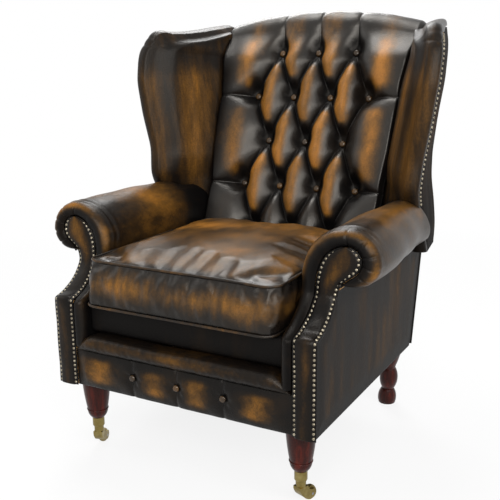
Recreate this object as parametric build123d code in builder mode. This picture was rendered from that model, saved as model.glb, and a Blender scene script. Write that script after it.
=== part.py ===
from build123d import *
import os
from math import cos, radians, sin, sqrt

os.makedirs("parts", exist_ok=True)

# Overall sizes, in millimetres. Depths are counted from the face of the front posts towards the back.
body_half = 337.0
body_depth = 629.0
base_bottom = 185.0
rail_height = 90.0
rail_thick = 28.0
leather = 4.0
gap = 0.3
slack = 0.05
overrun = 20.0

# Rake of the outside back and of the padded inside back, as rise to run shares
rear_lean_share = 0.232
inner_lean_share = 0.369

# Front roll, border and deck
roll_nose = 15.0
roll_top = 316.0
seam_height = 273.0
seam_depth = 4.0
roll_inner = 40.0
border_half = 281.5
border_nose = 6.0
border_lift = 2.0
front_rail_depth = 14.0
deck_top = 390.0
deck_front = 25.0
deck_half = 254.4
deck_set = 39.0
deck_back = body_depth - deck_set
webbing_thick = 2.4
webbing_width = 52.0
webbing_count = 7

# Posts, knee and arm
post_inner = 288.0
post_deep = 52.0
facing_inner = 282.0
facing_outer = 337.0
facing_thick = 5.0
knee_depth = 0.0
sag_depth = 56.0
sag_height = 421.0
neck_depth = 96.0
knee_drop = 24.0
neck_rise = 46.0
knee_height = sag_height - knee_drop
neck_height = sag_height + neck_rise
scroll_depth = 110.0
stump_thick = 42.0
arm_top = 604.0
arm_under = 487.0
arm_out = 426.0
arm_in = 255.0
arm_pad = 38.0
arm_turn = 497.0
arm_flat_at = 350.0
arm_bulge_height = 534.0
arm_set = 29.0
arm_back = body_depth - arm_set
arm_round = 22.0
scroll_x = 346.0
scroll_z = 528.0
scroll_radius = 39.0
arm_rail_wide = 34.0
arm_rail_high = 40.0

# Side panels and rear frame
panel_thick = 10.0
panel_corner = 26.0
rear_post_wide = 36.0
rear_post_deep = 46.0
rear_post_top = 950.0
crest_height = 80.0
crest_thick = 26.0
tack_rail_low = 400.0
tack_rail_high = 55.0
block_size = 60.0
block_height = 60.0
cover_thick = 1.6

# Inside back
button_height = 590.0
button_set = 9.0
button_depth = body_depth - button_set
pleat_rise = 22.0
pillow_rise = 24.0
pad_behind = 20.0
back_low = 392.0
back_high = 1060.0
back_shoulder = 1021.0
back_half = 254.0
back_half_top = 298.0
back_widen_from = 850.0
row_pitch = 119.5
column_pitch = 56.0
pleat_width = 4.0
button_radius = 10.0
button_thick = 7.0
pit_radius = 17.0
crest_roll_deep = 78.0
crest_roll_radius = 26.0
border_button_pitch = 120.0
border_button_height = 234.0
border_button_radius = 8.0
border_pit_radius = 13.0

# Wings
wing_low = 460.0
wing_high = 1012.0
wing_foot = 383.0
wing_flare = 40.0
wing_set = 163.0
wing_front = body_depth - wing_set
wing_sweep = 100.0
wing_edge = 40.0
wing_thick = 44.0
wing_waist = 336.0
wing_swell = 30.0
wing_board = 14.0
wing_height_share = (0.0, 0.09, 0.20, 0.30, 0.43, 0.60, 0.76, 0.88, 0.96, 1.0)
wing_flare_share = (0.0, 0.0, 0.0, 0.05, 0.17, 0.62, 0.94, 1.0, 0.80, 0.35)
wing_sweep_share = (1.0, 0.70, 0.27, 0.0, 0.11, 0.04, 0.02, 0.16, 0.34, 0.62)
wing_swell_share = (1.0, 0.95, 0.62, 0.20, 0.0, 0.13, 0.42, 0.40, 0.32, 0.10)

# Cushion
cushion_half = 237.0
cushion_top = 496.0
cushion_crown = 26.0
cushion_front_low = 1.0
cushion_front_top = 22.0
cushion_bulge = 9.0
cushion_back_set = 141.0
cushion_back_slope = 36.0
cushion_back_low = body_depth - cushion_back_set
cushion_back_top = cushion_back_low + cushion_back_slope
cushion_draw = 7.0
cushion_corner = 28.0
cushion_crown_share = (0.30, 0.62, 0.92, 1.0, 0.92, 0.62, 0.30)
cushion_width_share = (-1.0, -0.93, -0.5, 0.0, 0.5, 0.93, 1.0)
cushion_draw_share = (1.0, 0.2, 0.0, 0.0, 0.0, 0.2, 1.0)
piping_radius = 4.0

# Legs and castors
front_leg_x = 278.0
front_leg_depth = 57.0
leg_top_radius = 34.0
leg_step_radius = 25.0
leg_step_height = 105.0
leg_end_height = 80.0
leg_bead = 3.0
cup_radius = 14.5
cup_wall = 2.2
cup_bottom = 57.0
cup_floor = 4.0
tenon_end = 66.0
spindle_radius = 4.5
spindle_head = 8.0
spindle_head_thick = 2.4
spindle_foot = 42.0
horn_radius = 11.5
trail = 26.0
trail_turn = 19.5
wheel_radius = 17.0
wheel_width = 13.0
wheel_crown = 2.0
wheel_gap = 1.2
axle_radius = 3.0
rear_leg_x = 288.0
rear_leg_set = 23.0
rear_leg_depth = body_depth - rear_leg_set
rear_foot_x = 268.0
rear_foot_trail = 34.0
rear_foot_depth = rear_leg_depth + rear_foot_trail
rear_leg_radius = 30.0
rear_foot_radius = 25.0
rear_neck_radius = 15.5

# Derived places
side_rail_front = post_deep + facing_thick + gap
rear_rise = back_high - base_bottom
middle = (body_depth + rear_lean_share * rear_rise - roll_nose) / 2
rail_top = base_bottom + rail_height
side_rail_outer = body_half - panel_thick - gap
post_outer = side_rail_outer
rear_post_inner = side_rail_outer - rail_thick - rear_post_wide - gap
button_cos = 1 / sqrt(1 + inner_lean_share ** 2)
button_sin = inner_lean_share * button_cos


def deep(depth):
    return depth - middle


def rear_at(height):
    return deep(body_depth + rear_lean_share * (height - base_bottom))


def button_at(height):
    return deep(button_depth + inner_lean_share * (height - button_height))


# A plane that faces forward at one depth, and the raked plane of the buttons
def facing_plane(depth):
    return Plane(origin=(0, deep(depth), 0), x_dir=(1, 0, 0), z_dir=(0, -1, 0))


button_plane = Plane(
    origin=(0, deep(button_depth), button_height),
    x_dir=(1, 0, 0),
    z_dir=(0, -button_cos, button_sin),
)


def up_slope(height):
    return (height - button_height) / button_cos


# Front edge of post, knee and arm seen from the side, moved back by a set-back
def front_edge_block(set_back, behind, side_from, side_to):
    with BuildPart() as block:
        with BuildSketch(Plane.YZ.offset(side_from)):
            with BuildLine():
                Line((deep(knee_depth + set_back), base_bottom), (deep(knee_depth + set_back), knee_height))
                ThreePointArc(
                    (deep(knee_depth + set_back), knee_height),
                    (deep(sag_depth + set_back), sag_height),
                    (deep(neck_depth + set_back), neck_height),
                )
                Line(
                    (deep(neck_depth + set_back), neck_height),
                    (deep(scroll_depth + set_back), arm_top + overrun),
                )
                Line(
                    (deep(scroll_depth + set_back), arm_top + overrun),
                    (deep(behind), arm_top + overrun),
                )
                Line((deep(behind), arm_top + overrun), (deep(behind), base_bottom))
                Line((deep(behind), base_bottom), (deep(knee_depth + set_back), base_bottom))
            make_face()
        extrude(amount=side_to - side_from)
    return block.part


# Keyhole outline of the facing seen from the front
def keyhole(low, inner, outer, shrink):
    with BuildLine() as outline:
        Line((inner, low), (inner, neck_height))
        ThreePointArc(
            (inner, neck_height),
            (scroll_x - scroll_radius * 0.97 + shrink, scroll_z + scroll_radius * 0.45),
            (scroll_x, scroll_z + scroll_radius - shrink),
        )
        ThreePointArc(
            (scroll_x, scroll_z + scroll_radius - shrink),
            (scroll_x + (scroll_radius - shrink) * 0.85, scroll_z + (scroll_radius - shrink) * 0.53),
            (scroll_x + (scroll_radius - shrink) * 0.92, scroll_z - (scroll_radius - shrink) * 0.39),
        )
        Line(
            (scroll_x + (scroll_radius - shrink) * 0.92, scroll_z - (scroll_radius - shrink) * 0.39),
            (outer, neck_height),
        )
        Line((outer, neck_height), (outer, low))
        Line((outer, low), (inner, low))
    return outline.line


def save(builder, name):
    builder.part.label = name
    export_step(builder.part, "parts/" + name + ".step")


# The one main body of a piece, without the crumbs that a cut leaves beside it
def main_body(builder):
    with BuildPart() as body:
        add(builder.solids().sort_by(SortBy.VOLUME)[-1])
    return body


def save_pair(builder, name):
    save(builder, name + "_right")
    with BuildPart() as other:
        mirror(builder.part, about=Plane.YZ)
    save(other, name + "_left")


# Front legs: turned cup form on a tenon that enters the castor cup
with BuildPart() as front_leg:
    with BuildSketch(Plane(origin=(front_leg_x, deep(front_leg_depth), 0), x_dir=(1, 0, 0), z_dir=(0, -1, 0))):
        with BuildLine():
            Line((0, tenon_end), (cup_radius - cup_wall - slack, tenon_end))
            Line((cup_radius - cup_wall - slack, tenon_end), (cup_radius - cup_wall - slack, leg_end_height))
            Line((cup_radius - cup_wall - slack, leg_end_height), (cup_radius, leg_end_height))
            ThreePointArc(
                (cup_radius, leg_end_height),
                (leg_step_radius - leg_bead, (leg_end_height + leg_step_height) / 2 - leg_bead),
                (leg_step_radius, leg_step_height - leg_bead),
            )
            ThreePointArc(
                (leg_step_radius, leg_step_height - leg_bead),
                (leg_step_radius + leg_bead / 2, leg_step_height - leg_bead / 2),
                (leg_step_radius, leg_step_height),
            )
            ThreePointArc(
                (leg_step_radius, leg_step_height),
                ((leg_step_radius + leg_top_radius) / 2 + leg_bead / 2, (leg_step_height + base_bottom) / 2),
                (leg_top_radius, base_bottom),
            )
            Line((leg_top_radius, base_bottom), (0, base_bottom))
            Line((0, base_bottom), (0, tenon_end))
        make_face()
    revolve(axis=Axis((front_leg_x, deep(front_leg_depth), 0), (0, 0, 1)))
save_pair(front_leg, "front_leg")

# Castor cup, spindle, horn, axle and wheel
castor_axis = Axis((front_leg_x, deep(front_leg_depth), 0), (0, 0, 1))
trail_x = trail * sin(radians(trail_turn))
trail_y = trail * cos(radians(trail_turn))
trail_side = Plane(
    origin=(front_leg_x, deep(front_leg_depth), 0),
    x_dir=(sin(radians(trail_turn)), cos(radians(trail_turn)), 0),
    z_dir=(cos(radians(trail_turn)), -sin(radians(trail_turn)), 0),
)
round_side = Plane(origin=(front_leg_x, deep(front_leg_depth), 0), x_dir=(1, 0, 0), z_dir=(0, -1, 0))
horn_top = cup_bottom - gap
cup_inside = cup_radius - cup_wall

with BuildPart() as castor_cup:
    with BuildSketch(round_side):
        with BuildLine():
            Polyline(
                (spindle_radius + slack, cup_bottom),
                (cup_radius - cup_wall / 2, cup_bottom),
                (cup_radius, cup_bottom + cup_wall),
                (cup_radius, leg_end_height - gap),
                (cup_inside, leg_end_height - gap),
                (cup_inside, cup_bottom + cup_floor),
                (spindle_radius + slack, cup_bottom + cup_floor),
                close=True,
            )
        make_face()
    revolve(axis=castor_axis)
save_pair(castor_cup, "castor_cup")

with BuildPart() as castor_spindle:
    head_low = cup_bottom + cup_floor + gap
    with BuildSketch(round_side):
        with BuildLine():
            Polyline(
                (0, spindle_foot),
                (spindle_radius, spindle_foot),
                (spindle_radius, head_low),
                (spindle_head, head_low),
                (spindle_head, head_low + spindle_head_thick),
                (0, head_low + spindle_head_thick),
                close=True,
            )
        make_face()
    revolve(axis=castor_axis)
save_pair(castor_spindle, "castor_spindle")

# The horn bends from the cup down to the fork that holds the wheel
horn_bend = wheel_radius * 2.5
with BuildPart() as castor_horn:
    with BuildSketch(trail_side):
        with BuildLine():
            Line((-horn_radius, horn_bend), (-horn_radius, horn_bend - horn_radius / 2))
            ThreePointArc(
                (-horn_radius, horn_bend - horn_radius / 2),
                (-horn_radius * 0.5, wheel_radius + horn_radius * 0.6),
                (trail - horn_radius * 0.85, wheel_radius - horn_radius * 0.55),
            )
            ThreePointArc(
                (trail - horn_radius * 0.85, wheel_radius - horn_radius * 0.55),
                (trail, wheel_radius - horn_radius * 0.85),
                (trail + horn_radius * 0.8, wheel_radius - horn_radius * 0.3),
            )
            ThreePointArc(
                (trail + horn_radius * 0.8, wheel_radius - horn_radius * 0.3),
                (trail + horn_radius * 0.9, wheel_radius + horn_radius * 0.45),
                (trail + horn_radius * 0.35, wheel_radius + horn_radius),
            )
            ThreePointArc(
                (trail + horn_radius * 0.35, wheel_radius + horn_radius),
                (trail * 0.62, wheel_radius + horn_radius * 1.35),
                (horn_radius, horn_bend),
            )
            Line((horn_radius, horn_bend), (-horn_radius, horn_bend))
        make_face()
    extrude(amount=horn_radius, both=True)
    with BuildSketch(Plane.XY.offset(horn_top)):
        with Locations((front_leg_x, deep(front_leg_depth))):
            Circle(horn_radius)
    extrude(amount=-(horn_top - horn_bend + horn_radius / 2))
    with BuildSketch(trail_side):
        with Locations((trail, wheel_radius)):
            Circle(wheel_radius + wheel_gap)
    extrude(amount=wheel_width / 2 + wheel_gap / 2, both=True, mode=Mode.SUBTRACT)
    with BuildSketch(trail_side):
        with Locations((trail, wheel_radius)):
            Circle(axle_radius + slack)
    extrude(amount=horn_radius + wheel_gap, both=True, mode=Mode.SUBTRACT)
    with BuildSketch(Plane.XY.offset(horn_top + gap)):
        with Locations((front_leg_x, deep(front_leg_depth))):
            Circle(spindle_radius + slack)
    extrude(amount=-(horn_top - spindle_foot + gap * 2), mode=Mode.SUBTRACT)
save_pair(castor_horn, "castor_horn")

with BuildPart() as castor_axle:
    with BuildSketch(trail_side):
        with Locations((trail, wheel_radius)):
            Circle(axle_radius)
    extrude(amount=horn_radius + gap, both=True)
save_pair(castor_axle, "castor_axle")

with BuildPart() as castor_wheel:
    with BuildSketch(
        Plane(
            origin=trail_side.from_local_coords((trail, wheel_radius, 0)),
            x_dir=trail_side.z_dir,
            z_dir=trail_side.x_dir,
        )
    ):
        with BuildLine():
            Line((-wheel_width / 2, axle_radius + slack), (wheel_width / 2, axle_radius + slack))
            Line((wheel_width / 2, axle_radius + slack), (wheel_width / 2, wheel_radius - wheel_crown))
            ThreePointArc(
                (wheel_width / 2, wheel_radius - wheel_crown),
                (0, wheel_radius),
                (-wheel_width / 2, wheel_radius - wheel_crown),
            )
            Line((-wheel_width / 2, wheel_radius - wheel_crown), (-wheel_width / 2, axle_radius + slack))
        make_face()
    revolve(axis=Axis(trail_side.from_local_coords((trail, wheel_radius, 0)), trail_side.z_dir))
save_pair(castor_wheel, "castor_wheel")

# Rear legs: turned foot, neck, ball, neck and flared top on a raked axis
rear_top_point = Vector(rear_leg_x, deep(rear_leg_depth), base_bottom)
rear_foot_point = Vector(rear_foot_x, deep(rear_foot_depth), 0)
rear_line = rear_top_point - rear_foot_point
rear_run = rear_line.length
rear_side = Plane(origin=rear_foot_point, x_dir=rear_line.cross(Vector(0, 1, 0)), z_dir=rear_line)
rear_turn = Plane(origin=rear_foot_point, x_dir=rear_side.x_dir, z_dir=rear_side.x_dir.cross(rear_line))
with BuildPart() as rear_leg:
    with BuildSketch(rear_turn):
        with BuildLine():
            Line((0, -overrun), (rear_foot_radius * 0.9, -overrun))
            Line((rear_foot_radius * 0.9, -overrun), (rear_foot_radius * 0.9, 0))
            ThreePointArc(
                (rear_foot_radius * 0.9, 0),
                (rear_foot_radius, rear_run * 0.09),
                (rear_neck_radius, rear_run * 0.25),
            )
            ThreePointArc(
                (rear_neck_radius, rear_run * 0.25),
                (rear_foot_radius * 0.98, rear_run * 0.43),
                (rear_neck_radius, rear_run * 0.61),
            )
            Line((rear_neck_radius, rear_run * 0.61), (rear_neck_radius * 1.1, rear_run * 0.66))
            ThreePointArc(
                (rear_neck_radius * 1.1, rear_run * 0.66),
                (rear_leg_radius * 0.80, rear_run * 0.80),
                (rear_leg_radius, rear_run),
            )
            Line((rear_leg_radius, rear_run), (rear_leg_radius, rear_run + overrun))
            Line((rear_leg_radius, rear_run + overrun), (0, rear_run + overrun))
            Line((0, rear_run + overrun), (0, -overrun))
        make_face()
    revolve(axis=Axis(rear_foot_point, rear_line))
    split(bisect_by=Plane.XY, keep=Keep.TOP)
    split(bisect_by=Plane.XY.offset(base_bottom), keep=Keep.BOTTOM)
save_pair(rear_leg, "rear_leg")

# Front post and arm stump, shaped like the knee and the scroll
with BuildPart() as front_post:
    with BuildSketch(Plane.XY.offset(base_bottom)):
        with Locations(((post_inner + post_outer) / 2, deep(facing_thick + gap + post_deep / 2))):
            Rectangle(post_outer - post_inner, post_deep)
    extrude(amount=knee_height - leather - base_bottom)
save_pair(front_post, "front_post")

with BuildPart() as arm_stump:
    with BuildSketch(facing_plane(-overrun)):
        add(keyhole(knee_height - leather + gap, facing_inner + 2 * leather, post_outer, leather))
        make_face()
    extrude(amount=-(scroll_depth + stump_thick + 2 * overrun))
    add(
        front_edge_block(facing_thick + gap, scroll_depth + 2 * stump_thick, facing_inner, arm_out),
        mode=Mode.INTERSECT,
    )
    add(
        front_edge_block(stump_thick, scroll_depth + 3 * stump_thick, facing_inner - overrun, arm_out + overrun),
        mode=Mode.SUBTRACT,
    )
save_pair(arm_stump, "arm_stump")

# Leather facing: a band that runs down the scroll, the slope of the knee and the post
with BuildPart() as arm_facing:
    with BuildSketch(facing_plane(-overrun)):
        add(keyhole(base_bottom, facing_inner, facing_outer, 0))
        make_face()
    extrude(amount=-(scroll_depth + stump_thick + 2 * overrun))
    add(front_edge_block(0, scroll_depth + overrun, facing_inner - overrun, arm_out), mode=Mode.INTERSECT)
    add(
        front_edge_block(facing_thick, scroll_depth + stump_thick, facing_inner - 2 * overrun, arm_out + overrun),
        mode=Mode.SUBTRACT,
    )
save_pair(arm_facing, "arm_facing")

# Rails of the seat frame
with BuildPart() as front_rail:
    with BuildSketch(Plane.XY.offset(base_bottom)):
        with Locations((0, deep(front_rail_depth + rail_thick / 2))):
            Rectangle(2 * post_inner, rail_thick)
    extrude(amount=rail_height)
save(front_rail, "front_rail")

with BuildPart() as side_rail:
    with BuildSketch(Plane.YZ.offset(side_rail_outer - rail_thick)):
        with BuildLine():
            Polyline(
                (deep(side_rail_front), base_bottom),
                (rear_at(base_bottom) - leather - gap, base_bottom),
                (rear_at(rail_top) - leather - gap, rail_top),
                (deep(side_rail_front), rail_top),
                close=True,
            )
        make_face()
    extrude(amount=rail_thick)
save_pair(side_rail, "side_rail")

# Raked rear posts and the rails between them
with BuildPart() as rear_post:
    with BuildSketch(Plane.YZ.offset(rear_post_inner)):
        with BuildLine():
            Polyline(
                (rear_at(base_bottom) - leather - gap - rear_post_deep, base_bottom),
                (rear_at(base_bottom) - leather - gap, base_bottom),
                (rear_at(rear_post_top) - leather - gap, rear_post_top),
                (rear_at(rear_post_top) - leather - gap - rear_post_deep, rear_post_top),
                close=True,
            )
        make_face()
    extrude(amount=rear_post_wide)
save_pair(rear_post, "rear_post")


def raked_rail(low, high, thick):
    with BuildPart() as rail:
        with BuildSketch(Plane.YZ.offset(-rear_post_inner)):
            with BuildLine():
                Polyline(
                    (rear_at(low) - leather - gap - thick, low),
                    (rear_at(low) - leather - gap, low),
                    (rear_at(high) - leather - gap, high),
                    (rear_at(high) - leather - gap - thick, high),
                    close=True,
                )
            make_face()
        extrude(amount=2 * rear_post_inner)
    return rail


back_rail = raked_rail(base_bottom, rail_top, rail_thick)
save(back_rail, "back_rail")

tacking_rail = raked_rail(tack_rail_low, tack_rail_low + tack_rail_high, rail_thick)
save(tacking_rail, "tacking_rail")


# Crest rail with the low arch of the top edge, on the raked plane of the rear
rear_cos = 1 / sqrt(1 + rear_lean_share ** 2)
rear_sin = rear_lean_share * rear_cos
rear_plane = Plane(
    origin=(0, rear_at(base_bottom), base_bottom),
    x_dir=(1, 0, 0),
    z_dir=(0, -rear_cos, rear_sin),
)


def up_rear(height):
    return (height - base_bottom) / rear_cos


crest_cover = crest_roll_radius * 1.4
crest_low = rear_post_top + gap
with BuildPart() as crest_rail:
    with BuildSketch(rear_plane.offset(leather + gap)):
        with BuildLine():
            Line((-rear_post_inner - rear_post_wide, up_rear(crest_low)), (rear_post_inner + rear_post_wide, up_rear(crest_low)))
            Line(
                (rear_post_inner + rear_post_wide, up_rear(crest_low)),
                (rear_post_inner + rear_post_wide, up_rear(back_shoulder - crest_cover)),
            )
            ThreePointArc(
                (rear_post_inner + rear_post_wide, up_rear(back_shoulder - crest_cover)),
                (0, up_rear(back_high - crest_cover)),
                (-rear_post_inner - rear_post_wide, up_rear(back_shoulder - crest_cover)),
            )
            Line(
                (-rear_post_inner - rear_post_wide, up_rear(back_shoulder - crest_cover)),
                (-rear_post_inner - rear_post_wide, up_rear(crest_low)),
            )
        make_face()
    extrude(amount=crest_thick)
save(crest_rail, "crest_rail")

# Arm rails run from the stump to the rear post inside the scroll
arm_rail_x = side_rail_outer - rail_thick + arm_rail_wide / 2
with BuildPart() as arm_rail:
    with BuildSketch(facing_plane(scroll_depth + stump_thick + gap)):
        with Locations((arm_rail_x, scroll_z)):
            Rectangle(arm_rail_wide, arm_rail_high)
    extrude(amount=-(body_depth - scroll_depth))
    with BuildSketch(Plane.YZ.offset(arm_rail_x - arm_rail_wide)):
        with BuildLine():
            Polyline(
                (rear_at(base_bottom) - leather - gap, base_bottom),
                (rear_at(back_high) - leather - gap, back_high),
                (rear_at(back_high) + body_depth, back_high),
                (rear_at(back_high) + body_depth, base_bottom),
                close=True,
            )
        make_face()
    extrude(amount=2 * arm_rail_wide, mode=Mode.SUBTRACT)
save_pair(arm_rail, "arm_rail")

# Corner blocks glued and screwed inside the four corners of the seat frame
with BuildPart() as corner_blocks:
    with BuildSketch(Plane.XY.offset(rail_top - block_height)):
        for side in (-1, 1):
            with BuildLine():
                Polyline(
                    (side * (post_inner - gap), deep(front_rail_depth + rail_thick)),
                    (side * (post_inner - gap - block_size), deep(front_rail_depth + rail_thick)),
                    (side * (post_inner - gap), deep(front_rail_depth + rail_thick + block_size)),
                    close=True,
                )
            make_face()
            with BuildLine():
                Polyline(
                    (side * rear_post_inner, rear_at(base_bottom) - rail_thick - 2 * leather),
                    (side * (rear_post_inner - block_size), rear_at(base_bottom) - rail_thick - 2 * leather),
                    (side * rear_post_inner, rear_at(base_bottom) - rail_thick - 2 * leather - block_size),
                    close=True,
                )
            make_face()
    extrude(amount=block_height)
save(corner_blocks, "corner_blocks")

# Webbing straps stretched from side rail to side rail
with BuildPart() as seat_webbing:
    strap_from = deep(front_rail_depth + 2 * rail_thick + webbing_width / 2)
    strap_to = rear_at(base_bottom) - rail_thick - rear_post_deep - webbing_width / 2
    strap_step = (strap_to - strap_from) / (webbing_count - 1)
    with BuildSketch(Plane.XY.offset(rail_top)):
        for strap in range(webbing_count):
            with Locations((0, strap_from + strap * strap_step)):
                Rectangle(2 * (side_rail_outer - 2 * leather), webbing_width)
    extrude(amount=webbing_thick)
save(seat_webbing, "seat_webbing")

# Thin black cloth that closes the underside between the legs
with BuildPart() as dust_cover:
    with BuildSketch(Plane.XY.offset(base_bottom - cover_thick)):
        with BuildLine():
            Polyline(
                (-side_rail_outer + leather, deep(front_rail_depth + leather)),
                (side_rail_outer - leather, deep(front_rail_depth + leather)),
                (side_rail_outer - leather, rear_at(base_bottom) - 2 * leather),
                (-side_rail_outer + leather, rear_at(base_bottom) - 2 * leather),
                close=True,
            )
        make_face()
        with Locations(
            (front_leg_x, deep(front_leg_depth)),
            (-front_leg_x, deep(front_leg_depth)),
        ):
            Circle(leg_top_radius + 2 * gap, mode=Mode.SUBTRACT)
        with Locations(
            (rear_leg_x, deep(rear_leg_depth)),
            (-rear_leg_x, deep(rear_leg_depth)),
        ):
            Circle(rear_leg_radius * 1.2, mode=Mode.SUBTRACT)
    extrude(amount=cover_thick)
save(main_body(dust_cover), "dust_cover")

# Wings: upholstered pad, board and outside leather, lofted through level sections
wing_heights = [wing_low + share * (wing_high - wing_low) for share in wing_height_share]


def back_half_at(height):
    share = max(0.0, (height - back_widen_from) / (back_shoulder - back_widen_from))
    return back_half + (back_half_top - back_half) * min(1.0, share)


# Core between the wings: upright sides below, spreading towards the shoulders
def between_wings(room):
    half_low = back_half + room
    half_high = back_half_top + room
    with BuildPart() as core:
        with BuildSketch(facing_plane(0)):
            with BuildLine():
                Polyline(
                    (-half_low, back_low - 2 * overrun),
                    (half_low, back_low - 2 * overrun),
                    (half_low, back_widen_from),
                    (half_high, back_shoulder),
                    (half_high, back_high + 2 * overrun),
                    (-half_high, back_high + 2 * overrun),
                    (-half_high, back_shoulder),
                    (-half_low, back_widen_from),
                    close=True,
                )
            make_face()
        extrude(amount=-2 * body_depth)
    return core.part


def wing_places(index):
    height = wing_heights[index]
    front_x = wing_foot + wing_flare * wing_flare_share[index]
    front_y = deep(wing_front + wing_sweep * wing_sweep_share[index])
    rear_x = wing_waist + wing_swell * wing_swell_share[index]
    rear_y = rear_at(height) - leather - gap
    join_x = back_half_at(height) - leather
    join_y = max(button_at(height) - pleat_rise - pillow_rise * 0.6, front_y + wing_edge)
    return front_x, front_y, rear_x, rear_y, join_x, join_y


def wing_section(index, outer_from, outer_to, set_back):
    front_x, front_y, rear_x, rear_y, join_x, join_y = wing_places(index)
    along = Vector(rear_x - front_x, rear_y - front_y - wing_edge, 0).normalized()
    across = Vector(-along.Y, along.X, 0)
    lead = Vector(front_x, front_y + wing_edge * 0.3, 0) + along * set_back
    tail = Vector(rear_x, rear_y, 0)
    return [
        lead + across * outer_from,
        lead + across * outer_to,
        tail + across * outer_to,
        tail + across * outer_from,
    ]


# Outside leather and the board behind it
board_from = leather + gap
board_to = board_from + wing_board
wing_clear = 1.2
board_clear = 1.8
board_room = board_to + board_clear


def wing_sheet(outer_from, outer_to, set_back):
    with BuildPart() as sheet:
        for index in range(len(wing_heights)):
            corners = wing_section(index, outer_from, outer_to, set_back)
            with BuildSketch(Plane.XY.offset(wing_heights[index])):
                with BuildLine():
                    Polyline(*[(corner.X, corner.Y) for corner in corners], close=True)
                make_face()
        loft()
    return sheet


outside_wing = wing_sheet(0.0, leather, 0.0)
save_pair(outside_wing, "outside_wing")
wing_panel = wing_sheet(board_from, board_to, leather)
save_pair(wing_panel, "wing_board")

# Wing pad: rounded nose in front, smooth inner side, notch for the rear post
post_notch_x = rear_post_inner + rear_post_wide + gap
nose_lead = wing_edge * 0.45
with BuildPart() as wing:
    for index in range(len(wing_heights)):
        front_x, front_y, rear_x, rear_y, join_x, join_y = wing_places(index)
        outer_lead, inner_lead, inner_tail, outer_tail = wing_section(index, 0.0, board_room, 0.0)
        along = (outer_tail - outer_lead).normalized()
        across = (inner_lead - outer_lead).normalized()
        nose_from = outer_lead - along * wing_clear
        nose_to = outer_lead + across * wing_thick
        nose_mid = outer_lead + across * (wing_thick / 2) - along * nose_lead
        notch_y = rear_y - rear_post_deep - leather
        notch_x = max(post_notch_x, join_x + leather)
        with BuildSketch(Plane.XY.offset(wing_heights[index])):
            with BuildLine():
                ThreePointArc(
                    (nose_from.X, nose_from.Y),
                    (nose_mid.X, nose_mid.Y),
                    (nose_to.X, nose_to.Y),
                )
                Polyline(
                    (nose_to.X, nose_to.Y),
                    (join_x, join_y),
                    (join_x, notch_y),
                    (notch_x, notch_y),
                    (notch_x, inner_tail.Y),
                    (inner_tail.X, inner_tail.Y),
                    (inner_lead.X, inner_lead.Y),
                    (nose_from.X, nose_from.Y),
                )
            make_face()
    loft()
    with BuildSketch(facing_plane(scroll_depth)):
        with Locations((arm_rail_x, scroll_z)):
            Rectangle(arm_rail_wide + 2 * gap, arm_rail_high + 2 * gap)
    extrude(amount=-2 * body_depth, mode=Mode.SUBTRACT)
    add(between_wings(0), mode=Mode.SUBTRACT)
save_pair(wing, "wing")

# Outside arm panel, tucked under the scroll and ending below the wing
panel_top = arm_under - gap
step_depth = wing_front + wing_sweep - wing_edge / 4
rear_skin = leather + gap
with BuildPart() as outside_arm:
    with BuildSketch(Plane.YZ.offset(body_half - panel_thick)):
        with BuildLine():
            Polyline(
                (rear_at(base_bottom) - rear_skin - panel_corner, base_bottom),
                (deep(-overrun), base_bottom),
                (deep(-overrun), panel_top),
                (deep(step_depth), panel_top),
                (deep(step_depth), wing_low - gap),
                (rear_at(wing_low) - rear_skin, wing_low - gap),
                (rear_at(base_bottom + panel_corner) - rear_skin, base_bottom + panel_corner),
            )
            ThreePointArc(
                (rear_at(base_bottom + panel_corner) - rear_skin, base_bottom + panel_corner),
                (rear_at(base_bottom) - rear_skin - panel_corner * 0.24, base_bottom + panel_corner * 0.3),
                (rear_at(base_bottom) - rear_skin - panel_corner, base_bottom),
            )
        make_face()
    extrude(amount=panel_thick)
    add(
        front_edge_block(facing_thick + gap, body_depth * 1.5, side_rail_outer - overrun, body_half + overrun),
        mode=Mode.INTERSECT,
    )
    add(wing.part, mode=Mode.SUBTRACT)
    add(arm_stump.part, mode=Mode.SUBTRACT)
save_pair(outside_arm, "outside_arm_panel")

# Arm: rolled scroll over the arm rail, and the inner pad that runs down to the seat frame
scroll_front = (neck_depth + scroll_depth) / 2
arm_round_share = (0.85, 0.30, 0.08, 0.0)
arm_reach_share = (0.0, 0.25, 0.60, 1.0)


def scroll_outline(inset):
    with BuildLine() as outline:
        Line((arm_in + inset, arm_under), (arm_in + inset, arm_turn))
        ThreePointArc(
            (arm_in + inset, arm_turn),
            (arm_in + inset + (arm_flat_at - arm_in - inset) * 0.27, arm_turn + (arm_top - inset - arm_turn) * 0.71),
            (arm_flat_at, arm_top - inset),
        )
        ThreePointArc(
            (arm_flat_at, arm_top - inset),
            (
                arm_flat_at + (arm_out - inset - arm_flat_at) * 0.74,
                arm_bulge_height + (arm_top - inset - arm_bulge_height) * 0.70,
            ),
            (arm_out - inset, arm_bulge_height),
        )
        ThreePointArc(
            (arm_out - inset, arm_bulge_height),
            (
                arm_out - inset - (arm_out - inset - arm_flat_at) * 0.22,
                arm_under + (arm_bulge_height - arm_under) * 0.30,
            ),
            (arm_flat_at + overrun - inset / 2, arm_under),
        )
        Line((arm_flat_at + overrun - inset / 2, arm_under), (arm_in + inset, arm_under))
    return outline.line


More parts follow.
